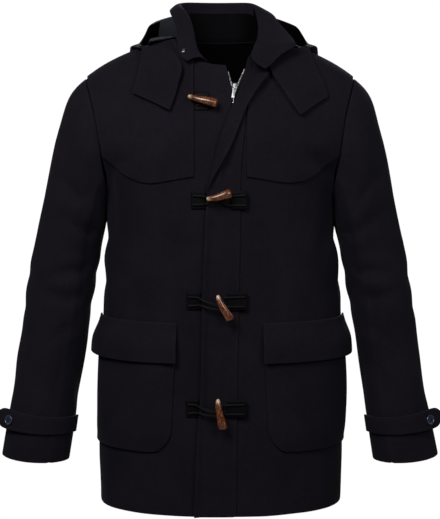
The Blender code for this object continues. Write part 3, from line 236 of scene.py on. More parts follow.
def finish(name, group, values, bump, gloss, **constants):
    # one finish: the group's inputs in order, then the strength and distance of its bump
    surface, tree = newSurface(name)
    effect = put(tree, "Group", node_tree=group)
    for socket, value in zip(effect.inputs, values):
        socket.default_value = (*value, 1) if isinstance(value, tuple) else value
    strength, distance = bump
    given = effect.outputs
    relief = put(tree, "Bump", {"Height": given["Height"], "Strength": strength, "Distance": distance})
    shader = put(tree, "BsdfPrincipled", {
        "Base Color": given["Colour"], "Roughness": given["Roughness"], "Normal": relief.outputs[0],
        "Specular IOR Level": gloss})
    for key, value in constants.items():
        shader.inputs[key.replace("_", " ")].default_value = value
    put(tree, "OutputMaterial", {"Surface": shader.outputs[0]})
    surface.diffuse_color = (*values[0], 1)
    return surface


wool = finish("navyMelton", feltedNap,
              ((0.0033, 0.0028, 0.0045), (0.0074, 0.0063, 0.0092), 1100.0, 0.84, 0.2), (0.55, 0.0005), 0.04,
              Sheen_Weight=0.02, Sheen_Roughness=0.45, Sheen_Tint=(0.8, 0.74, 0.95, 1))
# the lining: a black lining's tone pushed almost to black, painted shade for the coat's inside, the inner
# collar and the hood's unlit sides
inside = finish("darkLiningPaintedShade", wovenRibs, ((0.0005, 0.0005, 0.0007), (0.0016, 0.0016, 0.0021), 700.0, 0.5),
                (0.25, 0.0002), 0.02)
satin = finish("hoodSatin", wovenRibs, ((0.006, 0.0076, 0.0112), (0.0165, 0.02, 0.0275), 900.0, 0.26),
               (0.2, 0.00015), 0.55, Sheen_Weight=0.1)
leather = finish("darkLeather", pebbleGrain, ((0.0009, 0.0008, 0.0014), (0.0022, 0.0019, 0.003), 1100.0, 0.6),
                 (0.35, 0.0003), 0.05)
cordSkin = finish("toggleCord", wovenRibs, ((0.001, 0.001, 0.0014), (0.0034, 0.0033, 0.0042), 520.0, 0.5),
                  (0.5, 0.0004), 0.12)
tapeCloth = finish("zipTape", wovenRibs, ((0.006, 0.006, 0.0085), (0.014, 0.014, 0.018), 600.0, 0.65),
                   (0.5, 0.0003), 0.2)
thread = finish("navyThread", wovenRibs, ((0.003, 0.0026, 0.004), (0.0085, 0.0075, 0.0105), 1500.0, 0.5),
                (0.4, 0.0002), 0.1)
metal = finish("brushedNickel", pebbleGrain, ((0.46, 0.46, 0.47), (0.72, 0.72, 0.73), 2600.0, 0.36),
               (0.12, 0.0001), 0.5, Metallic=1.0)
buttonSkin = finish("navyButtonResin", pebbleGrain,
                    ((0.01, 0.014, 0.03), (0.022, 0.028, 0.05), 350.0, 0.34), (0.06, 0.0002), 0.5,
                    Coat_Weight=0.25, Coat_Roughness=0.2)


def floorFinish():
    surface, tree = newSurface("paleFloor")
    felt = put(tree, "BsdfDiffuse", {"Color": studio["floorShade"]})
    put(tree, "OutputMaterial", {"Surface": paleToEye(tree, "Emission", felt)})
    return surface


paleFloor = floorFinish()
# places and colours along the horn's streaks, and the colour of its tip
hornRamp = (
    (0.52, (0.016, 0.007, 0.004, 1)), (0.64, (0.05, 0.013, 0.005, 1)),
    (0.74, (0.11, 0.028, 0.008, 1)), (0.86, (0.19, 0.08, 0.03, 1)),
)
hornTip = (0.36, 0.26, 0.16, 1)


def hornFinish():
    # polished horn: cream tip, then amber with dark streaks running along the toggle
    surface, tree = newSurface("amberHorn")
    spot = put(tree, "Attribute", attribute_name="hornPlace").outputs["Vector"]
    along = put(tree, "Attribute", attribute_name="along").outputs["Fac"]
    streak = noise(tree, spot, 1.7, 4.0, Distortion=0.9)
    fleck = noise(tree, spot, 6.0, 5.0, Roughness=0.6)
    body = put(tree, "ValToRGB", {"Fac": maths(tree, "MULTIPLY_ADD", fleck, 0.35, streak)})
    stops = body.color_ramp.elements
    stops[0].position, stops[0].color = hornRamp[0]
    stops[1].position, stops[1].color = hornRamp[-1]
    for position, colour in hornRamp[1:-1]:
        stops.new(position).color = colour
    tip = ranged(tree, maths(tree, "MULTIPLY_ADD", fleck, 0.16, along), 0.13, 0.24, 1.0, 0.0)
    relief = put(tree, "Bump", {"Height": fleck, "Strength": 0.12, "Distance": 0.0003})
    shader = put(tree, "BsdfPrincipled", {
        "Base Color": mixed(tree, tip, body.outputs[0], hornTip), "Normal": relief.outputs[0],
        "Roughness": ranged(tree, fleck, 0.0, 1.0, 0.16, 0.34), "Specular IOR Level": 0.4,
        "Coat Weight": 0.12, "Coat Roughness": 0.15})
    put(tree, "OutputMaterial", {"Surface": shader.outputs[0]})
    return surface


horn = hornFinish()
print("finishes ready")

# folds are soft troughs and ridges, each along a short line seen from one side:
# depth and half width, then points across and up, all in millimetres
bodyFolds = {
    "front": (
        (-5.6, 14, (206, -236, 172, -208, 128, -186)),
        (-3.4, 13, (-206, -240, -176, -212, -140, -192)),
        (-5, 13, (-196, -190, -194, -260, -187, -345)),
        (-4, 12, (196, -270, 188, -330, 178, -380)),
        (-2, 8, (-3, -165, -9, -205, -19, -250)),
        (3.4, 24, (-118, -275, -122, -360, -112, -455)),
        (-3, 20, (-74, -290, -78, -370, -86, -450)),
        (-3.2, 20, (92, -262, 88, -350, 102, -450)),
        (3, 22, (138, -290, 146, -370, 140, -460)),
        (-2.4, 20, (-60, -700, -58, -760, -52, -816)),
        (-2.2, 22, (120, -716, 124, -770, 130, -816)),
        (1.8, 20, (62, -700, 64, -760, 70, -816)),
        (-2, 22, (-160, -716, -164, -770, -168, -816)),
    ),
    "back": (
        (-4.2, 16, (196, -262, 150, -300, 96, -352)),
        (-3.8, 17, (-198, -270, -148, -312, -90, -350)),
        (-2.6, 22, (52, -250, 46, -380, 58, -520)),
        (2.8, 26, (-30, -260, -36, -400, -26, -540)),
        (-2.4, 20, (-108, -300, -104, -420, -116, -540)),
        (-2.2, 14, (200, -430, 140, -452, 80, -446)),
        (-2, 15, (-206, -450, -150, -462, -104, -480)),
        (2, 24, (124, -470, 128, -600, 120, -740)),
        (-3, 24, (80, -600, 84, -700, 92, -816)),
        (-3, 24, (-70, -620, -78, -720, -82, -816)),
        (-2, 22, (-170, -640, -174, -720, -176, -816)),
    ),
    "side": (
        (-3.4, 15, (-50, -330, 10, -352, 62, -344)),
        (-2.6, 14, (-40, -430, 14, -412, 64, -420)),
        (-2.2, 18, (44, -520, 52, -640, 56, -780)),
    ),
}
# the sleeves' folds are for the wearer's left; the right sleeve takes them mirrored
sleeveFolds = {
    "front": (
        (-4, 11, (212, -296, 240, -268, 276, -232)),
        (-3, 11, (216, -340, 246, -318, 284, -300)),
        (-7, 12, (216, -240, 219, -330, 232, -430)),
        (-4.2, 9, (228, -404, 258, -396, 300, -404)),
        (-3.4, 9, (234, -440, 268, -446, 310, -432)),
        (2.4, 12, (236, -422, 262, -420, 296, -416)),
        (-3, 10, (240, -486, 272, -500, 304, -524)),
        (-2.2, 14, (300, -470, 306, -550, 316, -612)),
        (-2, 13, (268, -540, 274, -580, 284, -625)),
        (-1.8, 16, (262, -150, 282, -230, 296, -330)),
    ),
    "back": (
        (-3.6, 12, (214, -300, 246, -262, 272, -210)),
        (-3.8, 11, (236, -430, 272, -410, 312, -404)),
        (-3.2, 11, (240, -480, 276, -470, 318, -446)),
        (-2.6, 13, (254, -530, 286, -560, 310, -610)),
        (-2.4, 14, (232, -350, 262, -336, 290, -352)),
    ),
    "side": (
        (-1.8, 12, (-50, -420, -4, -404, 40, -424)),
        (-1.6, 12, (-52, -470, -10, -462, 36, -446)),
        (-2.2, 14, (-20, -200, -12, -270, -18, -350)),
        (-2, 14, (-60, -540, -44, -590, -36, -630)),
    ),
}
# slow unevenness of worn cloth: height in millimetres, then waves per metre along x, y and z
cloudWaves = (
    (0.5, (31, 24, 19), 0.4),
    (0.42, (-22, 37, 33), 1.9),
    (0.34, (47, -18, 41), 3.1),
    (0.26, (-61, 52, -49), 4.4),
    (0.18, (83, 71, 64), 5.3),
)
# how a fold fades: towards its ends, and into the low bank on each side of it
foldForm = {"kept": 0.92, "inset": 0.04, "taper": 0.7, "bank": 0.28, "bankAt": 2.1}
# half widths of the body and of a sleeve, and how square the body's plan is
plans = {"body": (0.236, 0.15), "square": 1.35, "sleeve": (0.045, 0.08)}
# the hood's front ends lie low and narrow: each fade is where it starts and how wide it is
hoodEnds = {
    "from": -0.009, "share": 0.72, "tuck": 0.0035, "narrower": 0.013, "outer": (0.122, 0.02),
    "low": (48.0, 22.0), "turned": (76.0, 20.0), "narrow": (36.0, 22.0), "narrowUp": (-0.075, 0.05),
}
# each flap's inner edge from top to foot, how far it stands up, and how wide the curl is
flapCurl = {
    "flap_left": ((0.0815, -0.03), (0.136, -0.127), 0.0055, 0.034),
    "flap_right": ((-0.0632, -0.03), (-0.086, -0.119), 0.005, 0.034),
}
flapTop = (-0.02, 0.03)
# the sleeve's crown stands level with the yoke it is sewn to
sleeveCap = {"rise": 0.0034, "out": 0.5, "up": 0.86, "fade": (-0.16, 0.075)}
# under the arm, sleeve and side press together: the side gives way and the sleeve swells
underArm = {"top": -0.205, "foot": -0.375, "side": 0.0045, "sleeve": 0.008, "bodyFade": 0.022,
            "sleeveFade": 0.03, "spread": 2.5}
# where the body's folds die away: near the yokes, beside the placket and towards the armholes
bodyCalm = {"top": (-0.115, 0.05), "placketAt": 0.005, "placket": (0.045, 0.03), "frontal": 3.0, "share": 0.7,
            "arm": (0.245, 0.03), "armFoot": -0.275}
# where a sleeve's folds die away: at the armhole, towards the shoulder and at the cuff
sleeveCalm = {"seam": (0.232, 0.02), "under": (-0.285, 0.03), "crown": (-0.1, 0.05), "cuff": (-0.66, 0.04),
              "least": 0.25}
# the placket: folds where it turns back above the second toggle, and a free edge that stands off below it
placketFolds = (
    (-3, 6, (4, -172, -6, -205, -13, -244)),
    (-2.2, 6, (25, -170, 16, -200, 4, -240)),
    (1.6, 6, (14, -175, 5, -208, -4, -242)),
)
placketEdge = {"lift": 0.004, "reach": 0.013, "top": (-0.262, 0.04), "sunk": 0.0013,
               "heights": (-0.83, -0.02, 0.01), "band": 0.03}
# heights at which a sleeve's middle is found, and half the height of the band that is read there
tubeRows = {"heights": (-0.73, -0.1, 0.02), "band": 0.022}
# a fold shows where the cloth faces its view: from how far, and over how much
shownFacing = (0.25, 0.4)


def soft(value):
    value = np.clip(value, 0.0, 1.0)
    return value * value * (3.0 - 2.0 * value)


def rising(value, start, width):
    return soft((value - start) / width)


def falling(value, start, width):
    return soft((start - value) / width)


def tubeMiddles():
    # middle line of each sleeve: height, then x and y
    lines = {}
    for side in ("left", "right"):
        cloud = np.array([v.co for part in ("top", "under")
                          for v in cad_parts["sleeve_" + part + "_" + side].data.vertices])
        rows = []
        for z in np.arange(*tubeRows["heights"]):
            band = cloud[np.abs(cloud[:, 2] - z) < tubeRows["band"]]
            rows.append((z, *((band[:, k].min() + band[:, k].max()) / 2 for k in (0, 1))))
        lines[side] = np.array(rows)
    return lines


sleeveMiddles = tubeMiddles()


def outwardOf(points, part):
    # the way the cloth faces out, level, from the middle of its tube
    if part in ("left", "right"):
        line = sleeveMiddles[part]
        middle = np.stack([np.interp(points[:, 2], line[:, 0], line[:, k]) for k in (1, 2)], axis=1)
        away = (points[:, :2] - middle) / np.array(plans["sleeve"]) ** 2
    else:
        half = np.array(plans["body"])
        away = points[:, :2]
        away = np.sign(away) * np.abs(away / half) ** plans["square"] / half
    length = np.linalg.norm(away, axis=1)
    away = away / np.maximum(length, 1e-6)[:, None]
    return np.concatenate([away, np.zeros((len(points), 1))], axis=1)


def foldHeight(across, up, folds):
    height = np.zeros(len(across))
    for depth, half, line in folds:
        line = np.reshape(line, (-1, 2)) / 1000.0
        steps = np.linalg.norm(np.diff(line, axis=0), axis=1)
        total = steps.sum()
        best = np.full(len(across), 1e9)
        where = np.zeros(len(across))
        gone = 0.0
        for (a, b), step in zip(zip(line[:-1], line[1:]), steps):
            run = (b - a) / step
            t = np.clip((across - a[0]) * run[0] + (up - a[1]) * run[1], 0.0, step)
            far = np.hypot(across - a[0] - run[0] * t, up - a[1] - run[1] * t)
            closer = far < best
            best[closer] = far[closer]
            where[closer] = (gone + t[closer]) / total
            gone += step
        r = half / 1000.0
        place = np.clip(where * foldForm["kept"] + foldForm["inset"], 0.0, 1.0)
        bank = foldForm["bank"] * np.exp(-((best - foldForm["bankAt"] * r) / r) ** 2)
        shape = np.exp(-(best / r) ** 2) - bank
        height += depth / 1000.0 * shape * np.sin(np.pi * place) ** foldForm["taper"]
    return height


def loweredHood(points):
    # the hood's front ends lie low, tucked in below the collar
    turn = np.degrees(np.arctan2(np.abs(points[:, 0]), points[:, 1]))
    outer = rising(np.hypot(points[:, 0], points[:, 1]), *hoodEnds["outer"])
    share = rising(turn, *hoodEnds["low"]) * outer
    high = np.maximum(points[:, 2] - hoodEnds["from"], 0.0)
    lower = points.copy()
    rightSide = (points[:, 0] < 0) * rising(turn, *hoodEnds["narrow"])
    rightSide = rightSide * rising(points[:, 2], *hoodEnds["narrowUp"]) * outer
    lower[:, 0] += hoodEnds["narrower"] * rightSide
    lower[:, 2] -= share * high * hoodEnds["share"] + rising(turn, *hoodEnds["turned"]) * hoodEnds["tuck"]
    return lower


def liftedFlap(points, part):
    # the throat flap's inner edge curls up off the coat
    top, foot, lift, reach = flapCurl[part]
    run = np.subtract(foot, top) / np.linalg.norm(np.subtract(foot, top))
    far = np.abs((points[:, 0] - top[0]) * run[1] - (points[:, 2] - top[1]) * run[0])
    raised = points.copy()
    raised[:, 1] -= lift * (1.0 - soft(far / reach)) * falling(points[:, 2], *flapTop)
    return raised


def edgedPlacket(points):
    raised = shifted(points, "body")
    raised[:, 1] -= foldHeight(points[:, 0], points[:, 2], placketFolds)
    solid = np.array([v.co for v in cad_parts["placket"].data.vertices])
    low = solid[np.argsort(solid[:, 0])]
    edges = []
    for z in np.arange(*placketEdge["heights"]):
        near = np.abs(low[:, 2] - z) < placketEdge["band"]
        if near.any():
            edges.append((z, low[near][0, 0]))
    edge = np.interp(points[:, 2], *np.array(edges).T)
    free = 1.0 - rising(points[:, 0], edge, placketEdge["reach"])
    raised[:, 1] += placketEdge["sunk"] * (1.0 - free)
    raised[:, 1] -= placketEdge["lift"] * free * falling(points[:, 2], *placketEdge["top"])
    return raised


def pressed(points, fade):
    wide = fade * underArm["spread"]
    return falling(points[:, 2], underArm["top"], wide) * rising(points[:, 2], underArm["foot"], wide)


def shifted(points, part):
    # where the cloth lies once its folds are in it
    points = np.asarray(points, float)
    if part == "placket":
        return edgedPlacket(points)
    if part == "hood":
        return loweredHood(points)
    if part in flapCurl:
        return liftedFlap(points, part)
    if part is None:
        return points
    out = outwardOf(points, part)
    up = points[:, 2]
    flip = -1.0 if part == "right" else 1.0
    height = np.zeros(len(points))
    facing = {"front": -out[:, 1], "back": out[:, 1], "side": np.abs(out[:, 0])}
    for view, lines in (bodyFolds if part == "body" else sleeveFolds).items():
        across = points[:, 1] if view == "side" else points[:, 0] * flip
        height += foldHeight(across, up, lines) * rising(facing[view], *shownFacing)
    waves = (size * np.sin(points @ np.array(pitch) + start) for size, pitch, start in cloudWaves)
    height += sum(waves) / 1000.0
    if part == "body":
        nearPlacket = rising(np.abs(points[:, 0] - bodyCalm["placketAt"]), *bodyCalm["placket"])
        atFront = soft(-out[:, 1] * bodyCalm["frontal"])
        height *= falling(up, *bodyCalm["top"]) * (1.0 - atFront * (1.0 - nearPlacket) * bodyCalm["share"])
        height *= np.where(up > bodyCalm["armFoot"], falling(np.abs(points[:, 0]), *bodyCalm["arm"]), 1.0)
        height -= underArm["side"] * pressed(points, underArm["bodyFade"]) * facing["side"] ** 2
        return points + out * height[:, None]
    seam = rising(np.abs(points[:, 0]), *sleeveCalm["seam"])
    height *= np.maximum(seam, falling(up, *sleeveCalm["under"])) * falling(up, *sleeveCalm["crown"])
    height *= sleeveCalm["least"] + (1.0 - sleeveCalm["least"]) * rising(up, *sleeveCalm["cuff"])
    inward = np.maximum(-out[:, 0] * flip, 0.0)
    height += underArm["sleeve"] * pressed(points, underArm["sleeveFade"]) * inward ** 2
    moved = points + out * height[:, None]
    cap = rising(up, *sleeveCap["fade"]) * sleeveCap["rise"]
    return moved + np.outer(cap, (sleeveCap["out"] * flip, 0.0, sleeveCap["up"]))


coatMiddle = (0.0, 0.0, -0.45)
# each dressed piece's sewn edge, and how far each of its points lies from that edge
rims = {}
edgeAway = {}
# how the solids' walls are read: weld and mark spacing in metres, angles in degrees
wall = {"weld": 0.00002, "joinAngle": 38, "joinShape": 62, "sharp": 50, "corner": 0.9, "markStep": 0.003,
        "edgeHighlightReach": 0.0035}
# half way between the hood's cloth on the back and its belly: height, then distance out
bagMiddle = ((-0.25, -0.15, -0.05, 0.03, 0.06), (0.187, 0.186, 0.166, 0.152, 0.15))
bagTurn = {"last": 72.0, "from": 22.0, "closing": 0.0016, "facing": -0.25}
# how far the hood's satin reaches where it shows lit, with the near-black lining beyond it as painted shade,
# and how far the collar's inner side takes that near-black lining: a black lining darkened as painted shade
litSatinReach = (-0.121, 0.088)
collarShadeLining = {"top": 0.052, "middle": 0.007, "half": 0.06, "front": -0.02}


def treeOfSpots(spots):
    finder = kdtree.KDTree(len(spots))
    for k, spot in enumerate(spots):
        finder.insert(spot, k)
    finder.balance()
    return finder


def spotsOf(piece):
    spots = np.empty(len(piece.data.vertices) * 3)
    piece.data.vertices.foreach_get("co", spots)
    return spots.reshape(-1, 3)


def skinRegions(bm, sharp):
    # the faces on each side of the wall, found by walking over gentle edges
    seen, regions = set(), []
    for face in bm.faces:
        if face in seen:
            continue
        seen.add(face)
        stack, members = [face], []
        while stack:
            members.append(stack.pop())
            for edge in members[-1].edges:
                for other in () if edge in sharp else edge.link_faces:
                    if other not in seen:
                        seen.add(other)
                        stack.append(other)
        regions.append(members)
    return sorted(regions, key=lambda members: -sum(f.calc_area() for f in members))


def outwardness(members, hub, line):
    # how much of these faces' area looks away from the hub, or from the sleeve's middle line
    total = 0.0
    for face in members:
        centre = face.calc_center_median()
        heart = hub
        if line is not None:
            heart = Vector((*(np.interp(centre.z, line[:, 0], line[:, k]) for k in (1, 2)), centre.z))
        total += face.calc_area() * face.normal.dot(centre - heart)
    return total


def inHoodBag(face):
    centre = face.calc_center_median()
    out = Vector((centre.x, centre.y, 0.0))
    away = out.length
    turn = math.degrees(math.atan2(abs(centre.x), centre.y))
    if turn > bagTurn["last"]:
        return False
    closing = 1.0 - bagTurn["closing"] * max(turn - bagTurn["from"], 0.0)
    farWall = away > np.interp(centre.z, *bagMiddle) * closing
    return farWall and face.normal.dot(out / away) < bagTurn["facing"]


# the collar's inner side takes the near-black lining: a black lining darkened as painted shade
def inCollar(spot):
    beside = abs(spot.x - collarShadeLining["middle"])
    return spot.z < collarShadeLining["top"] and beside < collarShadeLining["half"] and spot.y > collarShadeLining["front"]


def lineWall(bm, innerFaces, backing):
    # slot 1 is the backing; in the hood, slot 1 is the satin where it shows lit, and slot 2 the near-black
    # lining beside it: a dark facing darkened as painted shade
    if backing == "hood":
        for face in filter(inHoodBag, bm.faces):
            face.material_index = 1 if litSatinReach[0] < face.calc_center_median().x < litSatinReach[1] else 2
    elif backing:
        for face in innerFaces:
            if backing != "collar" or inCollar(face.calc_center_median()):
                face.material_index = 1


def rimMarks(sharp, outer):
    # points along the edges of the outer skin
    marks = []
    for edge in sharp:
        if len(outer.intersection(edge.link_faces)) == 1:
            a, b = edge.verts[0].co, edge.verts[1].co
            count = max(1, int(math.ceil((b - a).length / wall["markStep"])))
            marks += [a.lerp(b, k / count) for k in range(count)]
    return marks


def dressCopy(nodeName, level, part, surface, backing=None, crease=0.45, middle=coatMiddle):
    # the solid's own form, rounded, with its folds, its lining, and its edges marked for the painted edge
    # highlight and wear
    bm = bmesh.new()
    bm.from_mesh(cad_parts[nodeName].data)
    bmesh.ops.remove_doubles(bm, verts=bm.verts, dist=wall["weld"])
    bmesh.ops.join_triangles(bm, faces=bm.faces, angle_face_threshold=math.radians(wall["joinAngle"]),
                             angle_shape_threshold=math.radians(wall["joinShape"]))
    creases = bm.edges.layers.float.new("crease_edge")
    corners = bm.verts.layers.float.new("crease_vert")
    skin = bm.faces.layers.int.new("outerSkin")
    least = math.radians(wall["sharp"])
    sharp = {edge for edge in bm.edges if len(edge.link_faces) == 2 and edge.calc_face_angle(0.0) > least}
    for edge in sharp:
        edge[creases] = crease
    for vert in bm.verts:
        if len(sharp.intersection(vert.link_edges)) > 2:
            vert[corners] = wall["corner"]
    hub, line = Vector(middle), sleeveMiddles.get(part)
    pair = skinRegions(bm, sharp)[:2]
    pair.sort(key=lambda members: outwardness(members, hub, line), reverse=True)
    outer = set(pair[0])
    lineWall(bm, pair[-1] if len(pair) > 1 else (), backing)
    marks = rimMarks(sharp, outer)
    for face in outer:
        face[skin] = 1
    mesh = bpy.data.meshes.new(nodeName + "_cloth")
    bm.to_mesh(mesh)
    bm.free()
    mesh.materials.append(surface)
    for extra in {"inside": (inside,), "collar": (inside,), "hood": (satin, inside)}.get(backing, ()):
        mesh.materials.append(extra)
    piece = linked(nodeName + "_cloth", mesh)
    rounder = piece.modifiers.new("rounder", "SUBSURF")
    rounder.levels = rounder.render_levels = level
    mesh = applied(piece)
    spots = shifted(spotsOf(piece), part)
    mesh.vertices.foreach_set("co", spots.ravel())
    smooth(mesh)
    mesh.update()
    if marks:
        finder = treeOfSpots(spots)
        moved = shifted(np.array([tuple(m) for m in marks]), part)
        rims[nodeName] = np.array([spots[finder.find(m)[1]] for m in moved])
        near = treeOfSpots(rims[nodeName])
        away = np.array([near.find(spot)[2] for spot in spots])
        # lighter colour near the rims: a painted edge highlight, together with rubbed wear
        edgeHighlightAndWear = mesh.attributes.new("edgeHighlightAndWear", "FLOAT", "POINT")
        edgeHighlightAndWear.data.foreach_set("value", np.exp(-(away / wall["edgeHighlightReach"]) ** 2).astype(np.float32))
        edgeAway[nodeName] = away
    return piece


def settle(piece, nodeNames, body="coat"):
    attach(piece, body)
    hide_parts(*nodeNames)


def halfArea(piece):
    return sum(face.area for face in piece.data.polygons) / 2


def eachSide(names):
    # a star in a name stands for left, then right
    return [(name, side, name.replace("*", side)) for name in names
            for side in (("left", "right") if "*" in name else ("",))]


# the wool pieces: subdivision level, the folds they take, flat width and length in metres, and their backing
woolPieces = {
    "back": (3, "body", (0.62, 0.83), "inside"),
    "front_*": (3, "body", (0.34, 0.83), "inside"),
    "sleeve_top_*": (3, "*", (0.3, 0.68), "inside"),
    "sleeve_under_*": (3, "*", (0.17, 0.52), "inside"),
    "yoke_back": (3, "body", (0.5, 0.2), None),
    "yoke_front_*": (3, "body", (0.22, 0.26), None),
    "collar": (2, None, (0.5, 0.09), "collar"),
    "hood_*": (3, "hood", (0.36, 0.42), "hood"),
    "placket": (3, "placket", (0.085, 0.76), None),
    "throat_flap_*": (3, "flap_*", (0.1, 0.14), None),
    "pocket_*": (3, "body", (0.22, 0.22), None),
    "pocket_flap_*": (3, "body", (0.22, 0.09), None),
    "cuff_strap_*": (2, "*", (0.17, 0.05), None),
}
# the point that a piece's outer side looks away from, where it is not the middle of the coat
hubs = {"collar": (0.0, -0.01, 0.0), "hood": (0.0, 0.17, -0.12)}
dressed = {}
for name, sideName, nodeName in eachSide(woolPieces):
    level, part, flat, backing = woolPieces[name]
    part = part and part.replace("*", sideName)
    piece = dressCopy(nodeName, level, part, wool, backing, middle=hubs.get(backing, coatMiddle))
    settle(piece, [nodeName])
    dressed[nodeName] = piece
    # of the plain solid, so that any stretch from the folds shows against it
    cutArea = halfArea(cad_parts[nodeName])
    areas = "cut area", round(cutArea, 4), "dressed", round(halfArea(piece), 4)
    print("cloth", nodeName, len(piece.data.polygons), *areas)


# sewn edges are drawn together so that no light shows between them
seamDraw = {"reach": 0.0045, "fade": 0.007, "left": 0.00012}
sewnPairs = (
    ("hood_left", "hood_right"), ("back", "front_left"), ("back", "front_right"),
    ("yoke_back", "yoke_front_left"), ("yoke_back", "yoke_front_right"),
    ("sleeve_top_left", "sleeve_under_left"), ("sleeve_top_right", "sleeve_under_right"),
)


def drawnTo(nodeName, otherName):
    # how far each point of one piece goes towards the edge of the other
    mine, theirs = rims[nodeName], treeOfSpots(rims[otherName])
    pull = np.zeros(mine.shape)
    for k, spot in enumerate(mine):
        other, _, away = theirs.find(spot)
        if away < seamDraw["reach"]:
            pull[k] = (np.array(other) - spot) * 0.5 * (1.0 - seamDraw["left"] / max(away, seamDraw["left"]))
    spots = spotsOf(dressed[nodeName])
    near = treeOfSpots(mine)
    shift = np.zeros(spots.shape)
    for k in np.nonzero(edgeAway[nodeName] < seamDraw["fade"])[0]:
        _, at, away = near.find(spots[k])
        shift[k] = pull[at] * (1.0 - soft(away / seamDraw["fade"]))
    return spots + shift, mine + pull


for first, second in sewnPairs:
    ready = {name: drawnTo(name, other) for name, other in ((first, second), (second, first))}
    for name, (spots, edge) in ready.items():
        dressed[name].data.vertices.foreach_set("co", spots.ravel())
        dressed[name].data.update()
        rims[name] = edge
print("seams drawn together")

# smaller solids: the folds they take, their finish and their slot
trimPieces = {"hood_lining": ("hood", satin, "lining")}
for sideName in ("left", "right"):
    trimPieces["zip_tape_" + sideName] = ("body", tapeCloth, "tape")
for label, firstNumber, surface, slotName in (
        ("toggle_patch_", 1, leather, "leather"), ("loop_patch_", 2, leather, "leather"),
        ("toggle_cord_", 1, cordSkin, "leather"), ("loop_cord_", 2, cordSkin, "leather"),
        ("toggle_", 1, horn, "horn")):
    for number in range(firstNumber, 5):
        trimPieces[label + str(number)] = ("body", surface, slotName)
trimPieces["hood_snap"] = (None, buttonSkin, "button")
trimPieces["hood_zip_end"] = trimPieces["zip_slider"] = (None, metal, "zip_metal")
# width and length of the strips and lining among them, as they show
trimCuts = {"hood_lining": (0.42, 0.28), "zip_tape_left": (0.015, 0.78), "zip_tape_right": (0.015, 0.78)}
trimForm = {"level": 2, "crease": 0.5, "metalCrease": 0.75}
for nodeName, (part, surface, slotName) in trimPieces.items():
    crease = trimForm["metalCrease" if surface is metal else "crease"]
    piece = dressCopy(nodeName, trimForm["level"], part, surface, crease=crease)
    settle(piece, [nodeName])
    dressed[nodeName] = piece
    if nodeName in trimCuts:
        flat = trimCuts[nodeName]
        cutArea = halfArea(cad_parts[nodeName])
        print("strip", nodeName, "cut area", round(cutArea, 4), "dressed", round(halfArea(piece), 4))
pull = dressCopy("zip_pull", trimForm["level"], None, metal, crease=trimForm["metalCrease"])
settle(pull, ["zip_pull"], "pull")
print("trim ready")


# shares of the length that are compared to find the thin tip, and the size and stretch of the horn's streaks
hornGrain = {"first": (0.02, 0.25), "last": (0.75, 0.98), "size": 4.0, "along": 0.62, "apart": 50.0}


def markHorn(piece):
    # a place measured along and round the toggle, tip at 0, so the streaks follow it
    spots = spotsOf(piece)
    heart = spots.mean(0)
    run = np.linalg.svd(spots - heart, full_matrices=False)[2][0]
    t = (spots - heart) @ run
    share = (t - t.min()) / (t.max() - t.min())
    radius = np.linalg.norm(spots - heart - np.outer(t, run), axis=1)
    first, last = (radius[(share > low) & (share < high)].mean()
                   for low, high in (hornGrain["first"], hornGrain["last"]))
    if first > last:
        share = 1.0 - share
    along = piece.data.attributes.new("along", "FLOAT", "POINT")
    along.data.foreach_set("value", share.astype(np.float32))
    place = piece.data.attributes.new("hornPlace", "FLOAT_VECTOR", "POINT")
    local = (spots - heart) * 1000.0 / hornGrain["size"]
    stretched = local - np.outer(local @ run, run) * hornGrain["along"] + heart * hornGrain["apart"]
    place.data.foreach_set("vector", stretched.astype(np.float32).ravel())


for number in range(1, 5):
    markHorn(dressed["toggle_" + str(number)])

# zip teeth: an open row on each edge above the slider, and one closed row down behind the placket
zipTeeth = {
    "size": (0.003, 0.0014, 0.0018), "bevel": 0.0003, "pitch": 0.0025, "ahead": 0.002, "rayFrom": -0.4,
    "top": -0.047, "slider": -0.087, "below": 0.006, "foot": -0.8,
    "openHeights": (-0.088, -0.078, -0.045), "left": (0.027, 0.03, 0.045),
    "right": (0.022, 0.02, 0.01), "openTape": 0.0025, "openOver": 0.0008,
    "closedHeights": (-0.812, -0.3, -0.2, -0.088), "closedLine": (0.006, 0.007, 0.012, 0.0245),
    "closedTape": 0.0045, "closedOver": 0.0005,
}
towardsBack = Vector((0, 1, 0))
towardsFront = Vector((0, -1, 0))


def treeOf(piece):
    spots = [v.co for v in piece.data.vertices]
    return BVHTree.FromPolygons(spots, [tuple(f.vertices) for f in piece.data.polygons])


def stamp(bm, pattern, place):
    copy = pattern.copy()
    copy.transform(place)
    bm.from_mesh(copy)
    bpy.data.meshes.remove(copy)


def patternMesh(name, bm):
    mesh = bpy.data.meshes.new(name)
    bm.to_mesh(mesh)
    bm.free()
    return mesh


def objectFrom(name, bm, surface):
    mesh = patternMesh(name, bm)
    smooth(mesh)
    mesh.materials.append(surface)
    return linked(name, mesh)


def frameAt(place, run, out):
    # a matrix with its x along the run and its z facing out
    run = (run - out * run.dot(out)).normalized()
    side = out.cross(run)
    turn = Matrix((run, side, out)).transposed().to_4x4()
    return Matrix.Translation(place) @ turn


